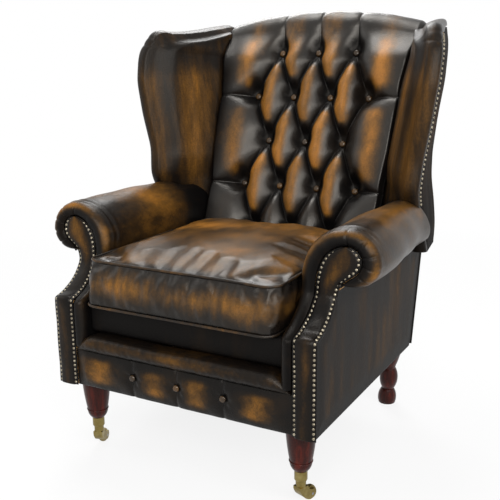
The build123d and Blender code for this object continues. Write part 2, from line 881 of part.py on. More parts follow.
with BuildPart() as arm:
    for round_share, reach_share in zip(arm_round_share, arm_reach_share):
        with BuildSketch(facing_plane(scroll_front + arm_round * reach_share)):
            add(scroll_outline(arm_round * round_share))
            make_face()
    loft(ruled=True)
    with BuildSketch(facing_plane(scroll_front + arm_round)):
        add(scroll_outline(0.0))
        make_face()
    extrude(amount=-(arm_back - scroll_front - arm_round))
    with BuildSketch(Plane.YZ.offset(arm_in)):
        with BuildLine():
            Polyline(
                (deep(knee_depth), rail_top + webbing_thick + gap),
                (deep(knee_depth), knee_height),
            )
            ThreePointArc(
                (deep(knee_depth), knee_height),
                (deep(sag_depth), sag_height),
                (deep(neck_depth), neck_height),
            )
            Polyline(
                (deep(neck_depth), neck_height),
                (deep(scroll_front + arm_round), arm_turn),
                (deep(arm_back), arm_turn),
                (deep(arm_back), rail_top + webbing_thick + gap),
                (deep(knee_depth), rail_top + webbing_thick + gap),
            )
        make_face()
    extrude(amount=arm_pad)
    # Room for the facing and the stump
    with BuildSketch(facing_plane(-overrun)):
        add(keyhole(base_bottom, facing_inner - gap, facing_outer + gap, -gap))
        make_face()
    extrude(amount=-(scroll_depth + stump_thick + 2 * gap + overrun), mode=Mode.SUBTRACT)
    # Room for the front roll and the rail ends
    with BuildSketch(Plane.YZ.offset(arm_in - overrun)):
        with BuildLine():
            Polyline(
                (deep(-overrun), base_bottom),
                (deep(front_rail_depth + rail_thick + gap), base_bottom),
                (deep(front_rail_depth + rail_thick + gap), roll_top + gap),
                (deep(-overrun), roll_top + gap),
                close=True,
            )
        make_face()
    extrude(amount=arm_pad + 2 * overrun, mode=Mode.SUBTRACT)
    # The scroll stops at the front edge of the wing
    with BuildSketch(Plane.YZ.offset(arm_in + arm_pad)):
        with BuildLine():
            Polyline(
                (deep(wing_front + wing_edge * 0.3), arm_top + overrun),
                (deep(wing_front + wing_edge * 0.3), arm_top),
                (deep(wing_front + wing_sweep + wing_edge * 0.3), wing_low),
                (deep(body_depth * 1.2), wing_low),
                (deep(body_depth * 1.2), arm_top + overrun),
                close=True,
            )
        make_face()
    extrude(amount=arm_out, mode=Mode.SUBTRACT)
    with BuildSketch(facing_plane(scroll_depth)):
        with Locations((arm_rail_x, scroll_z)):
            Rectangle(arm_rail_wide + 2 * gap, arm_rail_high + 2 * gap)
    extrude(amount=-body_depth, mode=Mode.SUBTRACT)
    add(wing.part, mode=Mode.SUBTRACT)
    add(outside_wing.part, mode=Mode.SUBTRACT)
    add(wing_panel.part, mode=Mode.SUBTRACT)
save_pair(main_body(arm), "arm")

# Outside back: one leather panel on the raked rear plane, following the wings above the arms
with BuildPart() as outside_back:
    rear_points = []
    rear_points.append((body_half, up_rear(base_bottom + panel_corner * 0.3)))
    rear_points.append((body_half, up_rear(wing_low - gap)))
    for index in range(len(wing_heights)):
        rear_points.append((wing_waist + wing_swell * wing_swell_share[index], up_rear(wing_heights[index])))
    with BuildSketch(rear_plane):
        with BuildLine():
            Polyline(*rear_points)
            ThreePointArc(
                rear_points[-1],
                (0, up_rear(back_high - crest_roll_radius)),
                (-rear_points[-1][0], rear_points[-1][1]),
            )
            Polyline(*[(-point[0], point[1]) for point in reversed(rear_points)])
            Line((-rear_points[0][0], rear_points[0][1]), rear_points[0])
        make_face()
    extrude(amount=leather)
save(outside_back, "outside_back_panel")

# Front border: low padded panel with three button pits
border_seat = border_lift
with BuildPart() as front_border:
    with BuildSketch(Plane.YZ.offset(-border_half)):
        with BuildLine():
            ThreePointArc(
                (deep(seam_depth), base_bottom + border_lift),
                (deep(-border_nose), (base_bottom + seam_height) / 2),
                (deep(seam_depth), seam_height - border_lift),
            )
            Polyline(
                (deep(seam_depth), seam_height - border_lift),
                (deep(front_rail_depth - gap), seam_height - border_lift),
                (deep(front_rail_depth - gap), base_bottom + border_lift),
                (deep(seam_depth), base_bottom + border_lift),
            )
        make_face()
    extrude(amount=2 * border_half)
    with Locations(facing_plane(border_seat)):
        with Locations(
            (-border_button_pitch, border_button_height),
            (0, border_button_height),
            (border_button_pitch, border_button_height),
        ):
            Cone(
                border_button_radius + gap,
                border_pit_radius,
                border_seat + border_nose + border_lift,
                align=(Align.CENTER, Align.CENTER, Align.MIN),
                mode=Mode.SUBTRACT,
            )
save(front_border, "front_border")

# Front roll: padded nose above the border, drawn down to nothing at its ends
roll_share = (-1.0, -0.93, -0.75, -0.4, 0.0, 0.4, 0.75, 0.93, 1.0)
roll_swell_share = (0.12, 0.72, 0.97, 1.0, 1.0, 1.0, 0.97, 0.72, 0.12)
with BuildPart() as front_roll:
    for place, swell in zip(roll_share, roll_swell_share):
        top = seam_height + border_lift + (roll_top - seam_height - border_lift) * swell
        nose = seam_depth - (seam_depth + roll_nose) * swell
        back = roll_inner
        with BuildSketch(Plane.YZ.offset(place * border_half)):
            with BuildLine():
                ThreePointArc(
                    (deep(seam_depth), seam_height + border_lift),
                    (deep(nose), (seam_height + top) / 2),
                    (deep(seam_depth + roll_nose * 0.6), top),
                )
                Polyline(
                    (deep(seam_depth + roll_nose * 0.6), top),
                    (deep(back), top),
                    (deep(back), seam_height + border_lift),
                    (deep(seam_depth), seam_height + border_lift),
                )
            make_face()
    loft()
save(front_roll, "front_roll")

# Sprung seat deck on the webbing
deck_bottom = rail_top + webbing_thick
with BuildPart() as seat_deck:
    with BuildSketch(Plane.YZ.offset(-deck_half)):
        with BuildLine():
            Polyline(
                (deep(roll_inner + 2 * leather), deck_bottom),
                (deep(roll_inner + 2 * leather), roll_top + 2 * gap),
                (deep(deck_front), roll_top + 2 * gap),
                (deep(deck_front), deck_top - leather),
                (deep(deck_front + leather), deck_top),
                (deep(deck_back), deck_top),
                (deep(deck_back), deck_bottom),
                close=True,
            )
        make_face()
    extrude(amount=2 * deck_half)
save(seat_deck, "seat_deck")

cushion_low = deck_top + gap
# Piping cords sewn round the top and the bottom edge of the cushion
def piping_loop(front, back, height, radius):
    half = cushion_half + piping_radius * 0.9
    front_line = deep(front) - piping_radius * 0.6
    back_line = deep(back) + piping_radius * 0.6
    start = (0, front_line, height)
    with BuildPart() as cord:
        with BuildLine() as run:
            Line(start, (half - cushion_corner, front_line, height))
            RadiusArc(
                (half - cushion_corner, front_line, height),
                (half, front_line + cushion_corner, height),
                -cushion_corner,
            )
            Line((half, front_line + cushion_corner, height), (half, back_line - cushion_corner, height))
            RadiusArc(
                (half, back_line - cushion_corner, height),
                (half - cushion_corner, back_line, height),
                -cushion_corner,
            )
            Line((half - cushion_corner, back_line, height), (0, back_line, height))
        with BuildSketch(Plane(origin=start, x_dir=(0, 1, 0), z_dir=(1, 0, 0))):
            Circle(radius)
        sweep(path=run.line)
        mirror(about=Plane.YZ)
    return cord


piping_top = piping_loop(cushion_front_top, cushion_back_top, cushion_top, piping_radius)
save(piping_top, "cushion_piping_top")
piping_bottom = piping_loop(cushion_front_low, cushion_back_low, cushion_low + piping_radius, piping_radius)
save(piping_bottom, "cushion_piping_bottom")

# Seat cushion: box cushion with crown, bulging front and drawn-in sides
with BuildPart() as seat_cushion:
    for place, crown, draw in zip(cushion_width_share, cushion_crown_share, cushion_draw_share):
        pull = cushion_draw * draw
        front_low = (deep(cushion_front_low + pull), cushion_low)
        front_top = (deep(cushion_front_top + pull), cushion_top)
        back_top = (deep(cushion_back_top - pull), cushion_top)
        back_bottom = (deep(cushion_back_low - pull), cushion_low)
        front_mid = (
            deep((cushion_front_low + cushion_front_top) / 2 + pull - cushion_bulge * crown),
            (cushion_low + cushion_top) / 2,
        )
        crown_top = (deep((cushion_front_top + cushion_back_top) / 2), cushion_top + cushion_crown * crown)
        with BuildSketch(Plane.YZ.offset(place * cushion_half)):
            with BuildLine():
                ThreePointArc(front_low, front_mid, front_top)
                ThreePointArc(front_top, crown_top, back_top)
                Line(back_top, back_bottom)
                Line(back_bottom, front_low)
            make_face()
    loft()
    add(
        piping_loop(cushion_front_top, cushion_back_top, cushion_top, piping_radius + slack).part,
        mode=Mode.SUBTRACT,
    )
    add(
        piping_loop(cushion_front_low, cushion_back_low, cushion_low + piping_radius, piping_radius + slack).part,
        mode=Mode.SUBTRACT,
    )
save(main_body(seat_cushion), "seat_cushion")

# Inside back: raked pad with a buttoned field of diamonds between straight pleats
button_row_count = 5
top_row_count = 3
button_rows = [top_row_count - row for row in range(button_row_count)]
button_heights = [button_height + row * row_pitch for row in button_rows]


def row_columns(row):
    if row % 2 == 0:
        return (-3, -1, 1, 3)
    return (-2, 0, 2)


slab_front = pleat_rise
side_margin = leather


arch_share = (-1.0, -0.6, 0.0, 0.6, 1.0)


def front_face(height):
    return button_at(height) - slab_front / button_cos


def half_at(height):
    return back_half_at(height) - gap


# Each pillow is a row of upright sections: a straight back and a swelling front
def pillow(stations, tall):
    with BuildPart() as cushion:
        for across, low, high, swell in stations:
            middle_height = (low + high) / 2
            with BuildSketch(
                Plane(
                    origin=button_plane.from_local_coords((across, 0, slab_front)),
                    x_dir=button_plane.y_dir,
                    z_dir=(1, 0, 0),
                )
            ):
                with BuildLine():
                    ThreePointArc((low, 0), (middle_height, swell * tall), (high, 0))
                    Line((high, 0), (low, 0))
                make_face()
        loft(ruled=True)
    return cushion.part


# Each panel lists its upright sections in columns and rows of buttons: column, low row, high row, swell
diamond_share = (
    (-0.97, -0.01, 0.01, 0.08),
    (-0.75, -0.22, 0.22, 0.50),
    (-0.50, -0.46, 0.46, 0.80),
    (-0.25, -0.71, 0.71, 0.95),
    (0.0, -0.96, 0.96, 1.0),
    (0.25, -0.71, 0.71, 0.95),
    (0.50, -0.46, 0.46, 0.80),
    (0.75, -0.22, 0.22, 0.50),
    (0.97, -0.01, 0.01, 0.08),
)
top_panel_share = (
    (-0.97, 1.0, 1.42, 0.15),
    (-0.60, 0.62, 1.42, 0.75),
    (-0.25, 0.29, 1.42, 0.97),
    (0.0, 0.05, 1.42, 1.0),
    (0.25, 0.29, 1.42, 0.97),
    (0.60, 0.62, 1.42, 0.75),
    (0.97, 1.0, 1.42, 0.15),
)
low_panel_share = (
    (-0.97, -0.60, 0.01, 0.15),
    (-0.60, -0.60, 0.36, 0.75),
    (0.0, -0.60, 0.96, 1.0),
    (0.60, -0.60, 0.36, 0.75),
    (0.97, -0.60, 0.01, 0.15),
)
side_middle_share = (
    (2.03, 0.99, 1.01, 0.08),
    (2.25, 0.78, 1.22, 0.50),
    (2.50, 0.54, 1.46, 0.80),
    (3.0, 0.04, 1.96, 1.0),
    (3.60, 0.04, 1.96, 1.0),
    (4.10, 0.04, 1.96, 0.95),
    (4.45, 0.04, 1.96, 0.70),
)
side_top_share = (
    (2.03, 3.0, 3.42, 0.15),
    (2.40, 2.62, 3.42, 0.75),
    (3.0, 2.04, 3.36, 1.0),
    (3.60, 2.04, 3.34, 1.0),
    (4.10, 2.04, 3.32, 0.95),
    (4.45, 2.04, 3.30, 0.70),
)
side_low_share = (
    (2.03, -1.60, -0.99, 0.15),
    (2.50, -1.60, -0.54, 0.80),
    (3.0, -1.60, -0.04, 1.0),
    (3.60, -1.60, -0.04, 1.0),
    (4.10, -1.60, -0.04, 0.95),
    (4.45, -1.60, -0.04, 0.70),
)


def panel(shares, column, row, side):
    stations = []
    for across, low, high, swell in shares:
        stations.append(
            (
                side * (column + across) * column_pitch,
                up_slope(button_height + (row + low) * row_pitch),
                up_slope(button_height + (row + high) * row_pitch),
                swell,
            )
        )
    return pillow(stations, pillow_rise)


def button_places():
    places = []
    for row in button_rows:
        for column in row_columns(row):
            places.append((column * column_pitch, up_slope(button_height + row * row_pitch)))
    return places


pad_low = up_slope(back_low)
pad_half = back_half_top + gap
crest_edge = up_slope(back_high - crest_roll_deep * 0.8)
shoulder_edge = up_slope(back_shoulder - crest_roll_deep * 0.8)
with BuildPart() as buttoned_back:
    with BuildSketch(button_plane.offset(-pad_behind)):
        with BuildLine():
            Polyline(
                (-pad_half, pad_low),
                (pad_half, pad_low),
                (pad_half, shoulder_edge),
            )
            ThreePointArc(
                (pad_half, shoulder_edge),
                (0, crest_edge),
                (-pad_half, shoulder_edge),
            )
            Line((-pad_half, shoulder_edge), (-pad_half, pad_low))
        make_face()
    extrude(amount=pad_behind + slab_front)
    for row in button_rows[1:-1]:
        for column in row_columns(row + 1):
            if abs(column) < 3:
                add(panel(diamond_share, column, row, 1))
    for side in (-1, 1):
        add(panel(top_panel_share, 1, 2, side))
        add(panel(low_panel_share, 1, -1, side))
        add(panel(side_middle_share, 0, 0, side))
        add(panel(side_top_share, 0, 0, side))
        add(panel(side_low_share, 0, 0, side))
    # Roll over the crest rail, from the front face to the outside back
    for place in arch_share:
        top = back_high - (back_high - back_shoulder) * place ** 2
        foot = top - crest_roll_deep
        with BuildSketch(Plane.YZ.offset(place * half_at(back_shoulder))):
            with BuildLine():
                Line((front_face(foot), foot), (front_face(top - crest_roll_radius), top - crest_roll_radius))
                ThreePointArc(
                    (front_face(top - crest_roll_radius), top - crest_roll_radius),
                    ((front_face(top) + rear_at(top)) / 2 - crest_roll_radius * 0.4, top),
                    (rear_at(top - crest_roll_radius * 1.2) - rear_skin, top - crest_roll_radius * 1.2),
                )
                Line(
                    (rear_at(top - crest_roll_radius * 1.2) - rear_skin, top - crest_roll_radius * 1.2),
                    (rear_at(foot) - rear_skin, foot),
                )
                Line((rear_at(foot) - rear_skin, foot), (front_face(foot), foot))
            make_face()
    loft()
    with Locations(button_plane):
        with Locations(*button_places()):
            Cone(
                button_radius + gap,
                pit_radius + pillow_rise / 2,
                pleat_rise + pillow_rise,
                align=(Align.CENTER, Align.CENTER, Align.MIN),
                mode=Mode.SUBTRACT,
            )
    add(between_wings(-gap), mode=Mode.INTERSECT)
    add(seat_deck.part, mode=Mode.SUBTRACT)
    add(crest_rail.part, mode=Mode.SUBTRACT)
    add(rear_post.part, mode=Mode.SUBTRACT)
    add(mirror(rear_post.part, about=Plane.YZ, mode=Mode.PRIVATE), mode=Mode.SUBTRACT)
save(buttoned_back, "buttoned_back")

# Covered buttons: low domes, one at each pit of the back and of the border
def domed_button(radius, thick):
    with BuildPart() as button:
        with BuildSketch(Plane.XZ):
            with BuildLine():
                Line((0, 0), (radius, 0))
                Line((radius, 0), (radius, thick * 0.35))
                ThreePointArc((radius, thick * 0.35), (radius * 0.72, thick * 0.78), (radius * 0.2, thick))
                Line((radius * 0.2, thick), (0, thick))
                Line((0, thick), (0, 0))
            make_face()
        revolve(axis=Axis.Z)
    return button.part


with BuildPart() as back_buttons:
    with Locations(button_plane):
        with Locations(*button_places()):
            add(domed_button(button_radius, button_thick))
save(back_buttons, "back_buttons")

with BuildPart() as border_buttons:
    with Locations(facing_plane(border_seat)):
        with Locations(
            (-border_button_pitch, border_button_height),
            (0, border_button_height),
            (border_button_pitch, border_button_height),
        ):
            add(domed_button(border_button_radius, border_seat + border_nose))
save(border_buttons, "border_buttons")
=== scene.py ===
import math

import bpy
import numpy as np
from mathutils import Matrix, Vector


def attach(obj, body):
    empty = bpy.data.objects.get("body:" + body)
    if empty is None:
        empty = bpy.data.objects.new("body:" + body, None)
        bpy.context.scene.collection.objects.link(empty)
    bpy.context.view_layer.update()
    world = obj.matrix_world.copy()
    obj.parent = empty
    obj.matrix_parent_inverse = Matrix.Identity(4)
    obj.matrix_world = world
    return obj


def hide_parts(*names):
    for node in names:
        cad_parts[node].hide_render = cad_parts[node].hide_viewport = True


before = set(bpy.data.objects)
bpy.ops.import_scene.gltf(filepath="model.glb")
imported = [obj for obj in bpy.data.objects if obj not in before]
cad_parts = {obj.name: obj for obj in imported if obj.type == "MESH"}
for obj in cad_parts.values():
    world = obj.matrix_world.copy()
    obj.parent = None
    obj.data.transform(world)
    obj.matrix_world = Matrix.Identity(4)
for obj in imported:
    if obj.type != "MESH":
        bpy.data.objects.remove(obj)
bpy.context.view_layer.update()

# Chair measures in millimetres: x to the sitter's left, depth from the front posts, height from the floor
MIDDLE = 408.5
BASE, KNEE, NECK = 185.0, 397.0, 467.0
REAR_LEAN, BACK_LEAN = 0.232, 0.369
COS = 1 / math.sqrt(1 + BACK_LEAN**2)
SIN = BACK_LEAN * COS
BUTTON_HEIGHT, BUTTON_DEPTH = 590.0, 620.0
COLUMN, ROW = 56.0, 119.5 / COS
BORDER_BUTTONS, BORDER_BUTTON_HEIGHT = (-120.0, 0.0, 120.0), 234.0
SEED = 7


def smooth(low, high, value):
    """Rises gently from 0 at low to 1 at high."""
    share = np.clip((value - low) / (high - low), 0, 1)
    return share * share * (3 - 2 * share)


def bump(value, centre, width):
    return np.exp(-(((value - centre) / width) ** 2))


def waves(x, y, z, length, seed, count=7):
    """Soft irregular swell between about -1 and 1, the same every run."""
    source = np.random.default_rng(seed)
    total = np.zeros(np.broadcast(x, y, z).shape)
    for _ in range(count):
        way = source.normal(size=3)
        way /= np.linalg.norm(way)
        pitch = 2 * math.pi / (length * source.uniform(0.7, 1.5))
        total += np.sin((x * way[0] + y * way[1] + z * way[2]) * pitch + source.uniform(0, 2 * math.pi))
    return total / math.sqrt(count) * 0.8


def rear_depth(height):
    return 629.0 + REAR_LEAN * (height - BASE)


def grid_points(x, depth, height):
    """A grid of (x, depth, height) points from rows, columns or whole grids of each."""
    return np.stack(np.broadcast_arrays(x, depth, height), -1)


def nearest_of(*distances):
    return np.minimum.reduce(np.broadcast_arrays(*distances))


def arc(first, middle, last, count):
    """Points on the circle through three points of a plane."""
    (ax, ay), (bx, by), (cx, cy) = first, middle, last
    d = 2 * (ax * (by - cy) + bx * (cy - ay) + cx * (ay - by))
    ux = ((ax**2 + ay**2) * (by - cy) + (bx**2 + by**2) * (cy - ay) + (cx**2 + cy**2) * (ay - by)) / d
    uy = ((ax**2 + ay**2) * (cx - bx) + (bx**2 + by**2) * (ax - cx) + (cx**2 + cy**2) * (bx - ax)) / d
    radius = math.hypot(ax - ux, ay - uy)
    start, mid, end = (math.atan2(p[1] - uy, p[0] - ux) for p in (first, middle, last))
    mid = start + (mid - start) % (2 * math.pi)
    end = start + (end - start) % (2 * math.pi)
    if mid > end:
        end -= 2 * math.pi
    angles = np.linspace(start, end, count)
    return np.stack([ux + radius * np.cos(angles), uy + radius * np.sin(angles)], -1)


def run_along(line):
    """Length of a line up to each of its points."""
    return np.concatenate([[0], np.cumsum(np.linalg.norm(np.diff(line, axis=0), axis=1))])


def even(points, count):
    """The same line with its points spread evenly along it."""
    points = np.asarray(points, float)
    run = run_along(points)
    at = np.linspace(0, run[-1], count)
    return np.stack([np.interp(at, run, points[:, k]) for k in range(points.shape[1])], -1)


def soften(values, passes, axis=0):
    """Rounds off corners in rows of points and keeps the two ends."""
    values = np.moveaxis(np.array(values, float), axis, 0)
    for _ in range(passes):
        values[1:-1] = (values[:-2] + 2 * values[1:-1] + values[2:]) / 4
    return np.moveaxis(values, 0, axis)


# Finishes


def paint(code):
    parts = [int(code[k : k + 2], 16) / 255 for k in (1, 3, 5)]
    return tuple((c / 12.92 if c <= 0.04045 else ((c + 0.055) / 1.055) ** 2.4) for c in parts) + (1.0,)


class Bench:
    """Nodes and links of one material or group, laid down in plain steps."""

    def __init__(self, tree):
        self.tree = tree

    def join(self, value, socket):
        self.tree.links.new(value, socket)

    def feed(self, node, place, value):
        """Another node's output is linked to the socket, and a plain value is set on it."""
        if isinstance(value, bpy.types.NodeSocket):
            self.join(value, node.inputs[place])
        else:
            node.inputs[place].default_value = value

    def add(self, kind, values=(), **settings):
        node = self.tree.nodes.new(kind)
        for name, value in settings.items():
            setattr(node, name, value)
        for name, value in dict(values).items():
            self.feed(node, name, value)
        return node

    def sum(self, kind, first, second=None, clamp=False):
        node = self.add("ShaderNodeMath", {0: first}, operation=kind, use_clamp=clamp)
        if second is not None:
            self.feed(node, 1, second)
        return node.outputs[0]

    def mix(self, share, first, second):
        return self.add("ShaderNodeMix", {0: share, 6: first, 7: second}, data_type="RGBA").outputs[2]

    def range(self, value, low, high, to_low=0.0, to_high=1.0):
        ends = {"From Min": low, "From Max": high, "To Min": to_low, "To Max": to_high}
        return self.add("ShaderNodeMapRange", {"Value": value, **ends}).outputs[0]

    def noise(self, vector, scale, detail, roughness=0.5, distortion=0.0):
        values = {"Vector": vector, "Scale": scale, "Detail": detail}
        values.update({"Roughness": roughness, "Distortion": distortion})
        return self.add("ShaderNodeTexNoise", values).outputs["Fac"]

    def scaled(self, vector, factors):
        values = {0: vector, 1: factors}
        return self.add("ShaderNodeVectorMath", values, operation="MULTIPLY").outputs[0]

    def relief(self, height, strength, distance):
        values = {"Strength": strength, "Distance": distance, "Height": height}
        return self.add("ShaderNodeBump", values).outputs[0]

    def ramp(self, value, stops):
        node = self.add("ShaderNodeValToRGB", {"Fac": value})
        ends = node.color_ramp.elements
        while len(ends) < len(stops):
            ends.new(0.5)
        for stop, (place, code) in zip(ends, stops):
            stop.position, stop.color = place, paint(code)
        return node.outputs[0]


def new_group(name, inputs, outputs):
    group = bpy.data.node_groups.new(name, "ShaderNodeTree")
    for label, kind, value in inputs:
        socket = group.interface.new_socket(label, in_out="INPUT", socket_type=kind)
        socket.default_value = value
    for label, kind in outputs:
        group.interface.new_socket(label, in_out="OUTPUT", socket_type=kind)
    bench = Bench(group)
    return group, bench, bench.add("NodeGroupInput").outputs, bench.add("NodeGroupOutput").inputs


def grain_group():
    """Pebbled leather grain with fine creases, as a height."""
    group, bench, given, out = new_group(
        "leather_grain",
        [
            ("Vector", "NodeSocketVector", (0, 0, 0)),
            ("Scale", "NodeSocketFloat", 620.0),
            ("Crease", "NodeSocketFloat", 0.5),
        ],
        [("Height", "NodeSocketFloat"), ("Pits", "NodeSocketFloat")],
    )
    values = {"Vector": given["Vector"], "Scale": given["Scale"], "Smoothness": 0.6}
    cells = bench.add("ShaderNodeTexVoronoi", values, feature="SMOOTH_F1").outputs["Distance"]
    folds = bench.noise(given["Vector"], 70.0, 5.0, 0.6)
    ridge = bench.sum("ABSOLUTE", bench.sum("SUBTRACT", folds, 0.5))
    crease = bench.sum("MULTIPLY", bench.range(ridge, 0.0, 0.06, -1.0, 0.0), given["Crease"])
    pebble = bench.range(cells, 0.0, 0.7, 0.45, 0.0)
    bench.join(bench.sum("ADD", pebble, crease), out["Height"])
    bench.join(bench.range(cells, 0.35, 0.75), out["Pits"])
    return group


def wear_and_shade_group():
    """Hand rubbed antique finish: near black where the level is low and amber where it is high. The level
    holds the wear on raised leather and also painted shade in pits, creases and seams.
    """
    group, bench, given, out = new_group(
        "antique_finish_and_painted_shade",
        [
            ("Vector", "NodeSocketVector", (0, 0, 0)),
            ("Stretch", "NodeSocketVector", (1, 1, 1)),
            ("Wear and shade", "NodeSocketFloat", 0.5),
            ("Warmth", "NodeSocketFloat", 0.5),
        ],
        [("Color", "NodeSocketColor"), ("Wear shade level", "NodeSocketFloat")],
    )
    drawn = bench.scaled(given["Vector"], given["Stretch"])
    cloud = bench.range(bench.noise(drawn, 5.5, 3.0), 0.3, 0.7, -0.17, 0.17)
    lines = bench.range(bench.noise(drawn, 26.0, 4.0, 0.65), 0.3, 0.7, -0.11, 0.11)
    dots = bench.range(bench.noise(given["Vector"], 180.0, 3.0, 0.7), 0.3, 0.7, -0.05, 0.05)
    level = bench.sum("ADD", bench.sum("ADD", given["Wear and shade"], cloud), bench.sum("ADD", lines, dots))
    warmer = bench.sum("MULTIPLY", bench.sum("SUBTRACT", given["Warmth"], 0.5), 0.6)
    level = bench.sum("ADD", level, warmer, clamp=True)
    near_black = [(0.0, "#0b0a0a"), (0.25, "#17110c"), (0.45, "#352410")]
    amber = [(0.66, "#5f4018"), (0.86, "#8a5b20"), (1.0, "#a96f2b")]
    bench.join(bench.ramp(level, near_black + amber), out["Color"])
    bench.join(level, out["Wear shade level"])
    return group


GRAIN, WEAR_AND_SHADE = grain_group(), wear_and_shade_group()


def new_material(name):
    material = bpy.data.materials.new(name)
    material.use_nodes = True
    material.node_tree.nodes.clear()
    bench = Bench(material.node_tree)
    shader = bench.add("ShaderNodeBsdfPrincipled")
    bench.add("ShaderNodeOutputMaterial", {"Surface": shader.outputs[0]})
    place = bench.add("ShaderNodeTexCoord").outputs["Object"]
    return material, bench, shader, place


def leather(name, stretch=(1, 1, 1), warmth=0.5, gloss=0.27, crease=0.5, shine=0.3):
    """Rubbed hide. The mesh gives its level of wear and painted shade, and how polished it is."""
    material, bench, shader, place = new_material(name)
    wear_and_shade = bench.add("ShaderNodeAttribute", attribute_name="wear_and_shade").outputs["Fac"]
    wear_shade_node = bench.add("ShaderNodeGroup", node_tree=WEAR_AND_SHADE)
    for label, value in (("Vector", place), ("Wear and shade", wear_and_shade), ("Stretch", stretch), ("Warmth", warmth)):
        bench.feed(wear_shade_node, label, value)
    hide = bench.add("ShaderNodeGroup", node_tree=GRAIN)
    for label, value in (("Vector", place), ("Scale", 620.0), ("Crease", crease)):
        bench.feed(hide, label, value)
    pits = bench.sum("MULTIPLY", hide.outputs["Pits"], 0.35)
    bench.feed(shader, "Base Color", bench.mix(pits, wear_shade_node.outputs["Color"], paint("#0f0c0b")))
    bench.feed(shader, "Roughness", bench.range(wear_shade_node.outputs["Wear shade level"], 0.0, 1.0, gloss, gloss + 0.1))
    bench.feed(shader, "Normal", bench.relief(hide.outputs["Height"], 0.22, 0.0012))
    polish = bench.add("ShaderNodeAttribute", attribute_name="polish").outputs["Fac"]
    bench.feed(shader, "Specular IOR Level", bench.sum("MULTIPLY", polish, shine))
    bench.feed(shader, "Specular Tint", paint("#fff8ee"))
    return material


def polished_wood(name, dark, mid, light, gloss=0.25):
    material, bench, shader, place = new_material(name)
    along = bench.scaled(place, (1, 1, 0.12))
    figure = bench.noise(along, 60.0, 6.0, 0.6, 1.2)
    pores = bench.noise(along, 700.0, 2.0)
    tone = bench.ramp(figure, [(0.3, dark), (0.52, mid), (0.75, light)])
    tone = bench.mix(bench.range(pores, 0.55, 0.7, 0.0, 0.4), tone, paint(dark))
    bench.feed(shader, "Base Color", tone)
    bench.feed(shader, "Roughness", bench.range(pores, 0.3, 0.7, gloss, gloss + 0.12))
    bench.feed(shader, "Normal", bench.relief(pores, 0.12, 0.0006))
    bench.feed(shader, "Specular IOR Level", 0.16)
    bench.feed(shader, "Coat Weight", 0.04)
    return material


def aged_metal(name, deep, mid, light, gloss, scale=1.0):
    material, bench, shader, place = new_material(name)
    cloud = bench.noise(place, 90 * scale, 5.0, 0.65)
    scratch = bench.noise(place, 900 * scale, 3.0)
    bench.feed(shader, "Base Color", bench.ramp(cloud, [(0.28, deep), (0.5, mid), (0.72, light)]))
    bench.feed(shader, "Roughness", bench.range(cloud, 0.3, 0.7, gloss + 0.14, gloss))
    bench.feed(shader, "Normal", bench.relief(scratch, 0.15, 0.0004))
    bench.feed(shader, "Metallic", 1.0)
    return material


def woven(name, dark, light, pitch):
    material, bench, shader, place = new_material(name)
    values = {"Vector": place, "Scale": pitch, "Distortion": 0.6}
    warp = bench.add("ShaderNodeTexWave", values, bands_direction="X").outputs["Fac"]
    weft = bench.add("ShaderNodeTexWave", values, bands_direction="Y").outputs["Fac"]
    cross = bench.sum("MULTIPLY", warp, weft)
    bench.feed(shader, "Base Color", bench.ramp(cross, [(0.0, dark), (1.0, light)]))
    bench.feed(shader, "Roughness", bench.range(cross, 0.0, 1.0, 0.95, 0.8))
    bench.feed(shader, "Normal", bench.relief(cross, 0.4, 0.0006))
    return material


HIDE_BACK = leather("leather_back", (1.6, 1.6, 0.7), gloss=0.3, shine=0.42)
HIDE_WING = leather("leather_wing", (2.0, 2.0, 0.35), warmth=0.52, gloss=0.33, shine=0.15)
HIDE_ARM = leather("leather_arm", (1.4, 0.8, 1.4), gloss=0.3, shine=0.15)
HIDE_SEAT = leather("leather_seat", (1.6, 0.8, 1.0))
HIDE_FRONT = leather("leather_front", (1.5, 1.5, 1.5), shine=0.16)
HIDE_SIDE = leather("leather_side", (1.8, 1.8, 0.4), warmth=0.42, gloss=0.5, shine=0.09)
HIDE_OUTSIDE = leather("leather_outside_wing", (1.8, 1.8, 0.4), gloss=0.6, shine=0.02)
HIDE_FACING = leather("leather_facing", (1.8, 1.8, 0.5), warmth=0.44, gloss=0.28, shine=0.14)
HIDE_BUTTON = leather("leather_button", warmth=0.2, gloss=0.2, crease=0.2, shine=0.5)
HIDE_PIPING = leather("leather_piping", (3, 3, 3), warmth=0.2, gloss=0.34, crease=0.2)
MAHOGANY = polished_wood("mahogany_polish", "#180402", "#340d06", "#581a0d")
BEECH = polished_wood("frame_beech", "#8a6238", "#b98d58", "#d3ae7c", gloss=0.6)
BRASS = aged_metal("aged_brass", "#655731", "#7f7043", "#968859", 0.3, 0.4)
NAIL = aged_metal("antique_nail", "#46403a", "#8b8270", "#c2b9a4", 0.28, 1.6)
STEEL = aged_metal("plain_steel", "#6d6d70", "#929298", "#b4b4ba", 0.3)
BLACK_CLOTH = woven("black_cloth", "#0b0b0c", "#202022", 420.0)
JUTE = woven("jute_webbing", "#7c6340", "#b89a6a", 260.0)


# Skins: a closed shell of leather from a grid of points


def in_metres(points):
    return np.asarray(points) / 1000 - np.array([0, MIDDLE / 1000, 0])


def quads_of(index, flip=False):
    """Four-sided faces between the neighbours in a grid of point numbers."""
    corners = [index[:-1, :-1], index[1:, :-1], index[1:, 1:], index[:-1, 1:]]
    if flip:
        corners[1], corners[3] = corners[3], corners[1]
    return np.stack(corners, -1).reshape(-1, 4)


def rim_of(grid):
    return np.concatenate([grid[0, :-1], grid[:-1, -1], grid[-1, :0:-1], grid[:0:-1, 0]])


def walls_between(rim, far_rim):
    return np.stack([rim, far_rim, np.roll(far_rim, -1), np.roll(rim, -1)], -1)


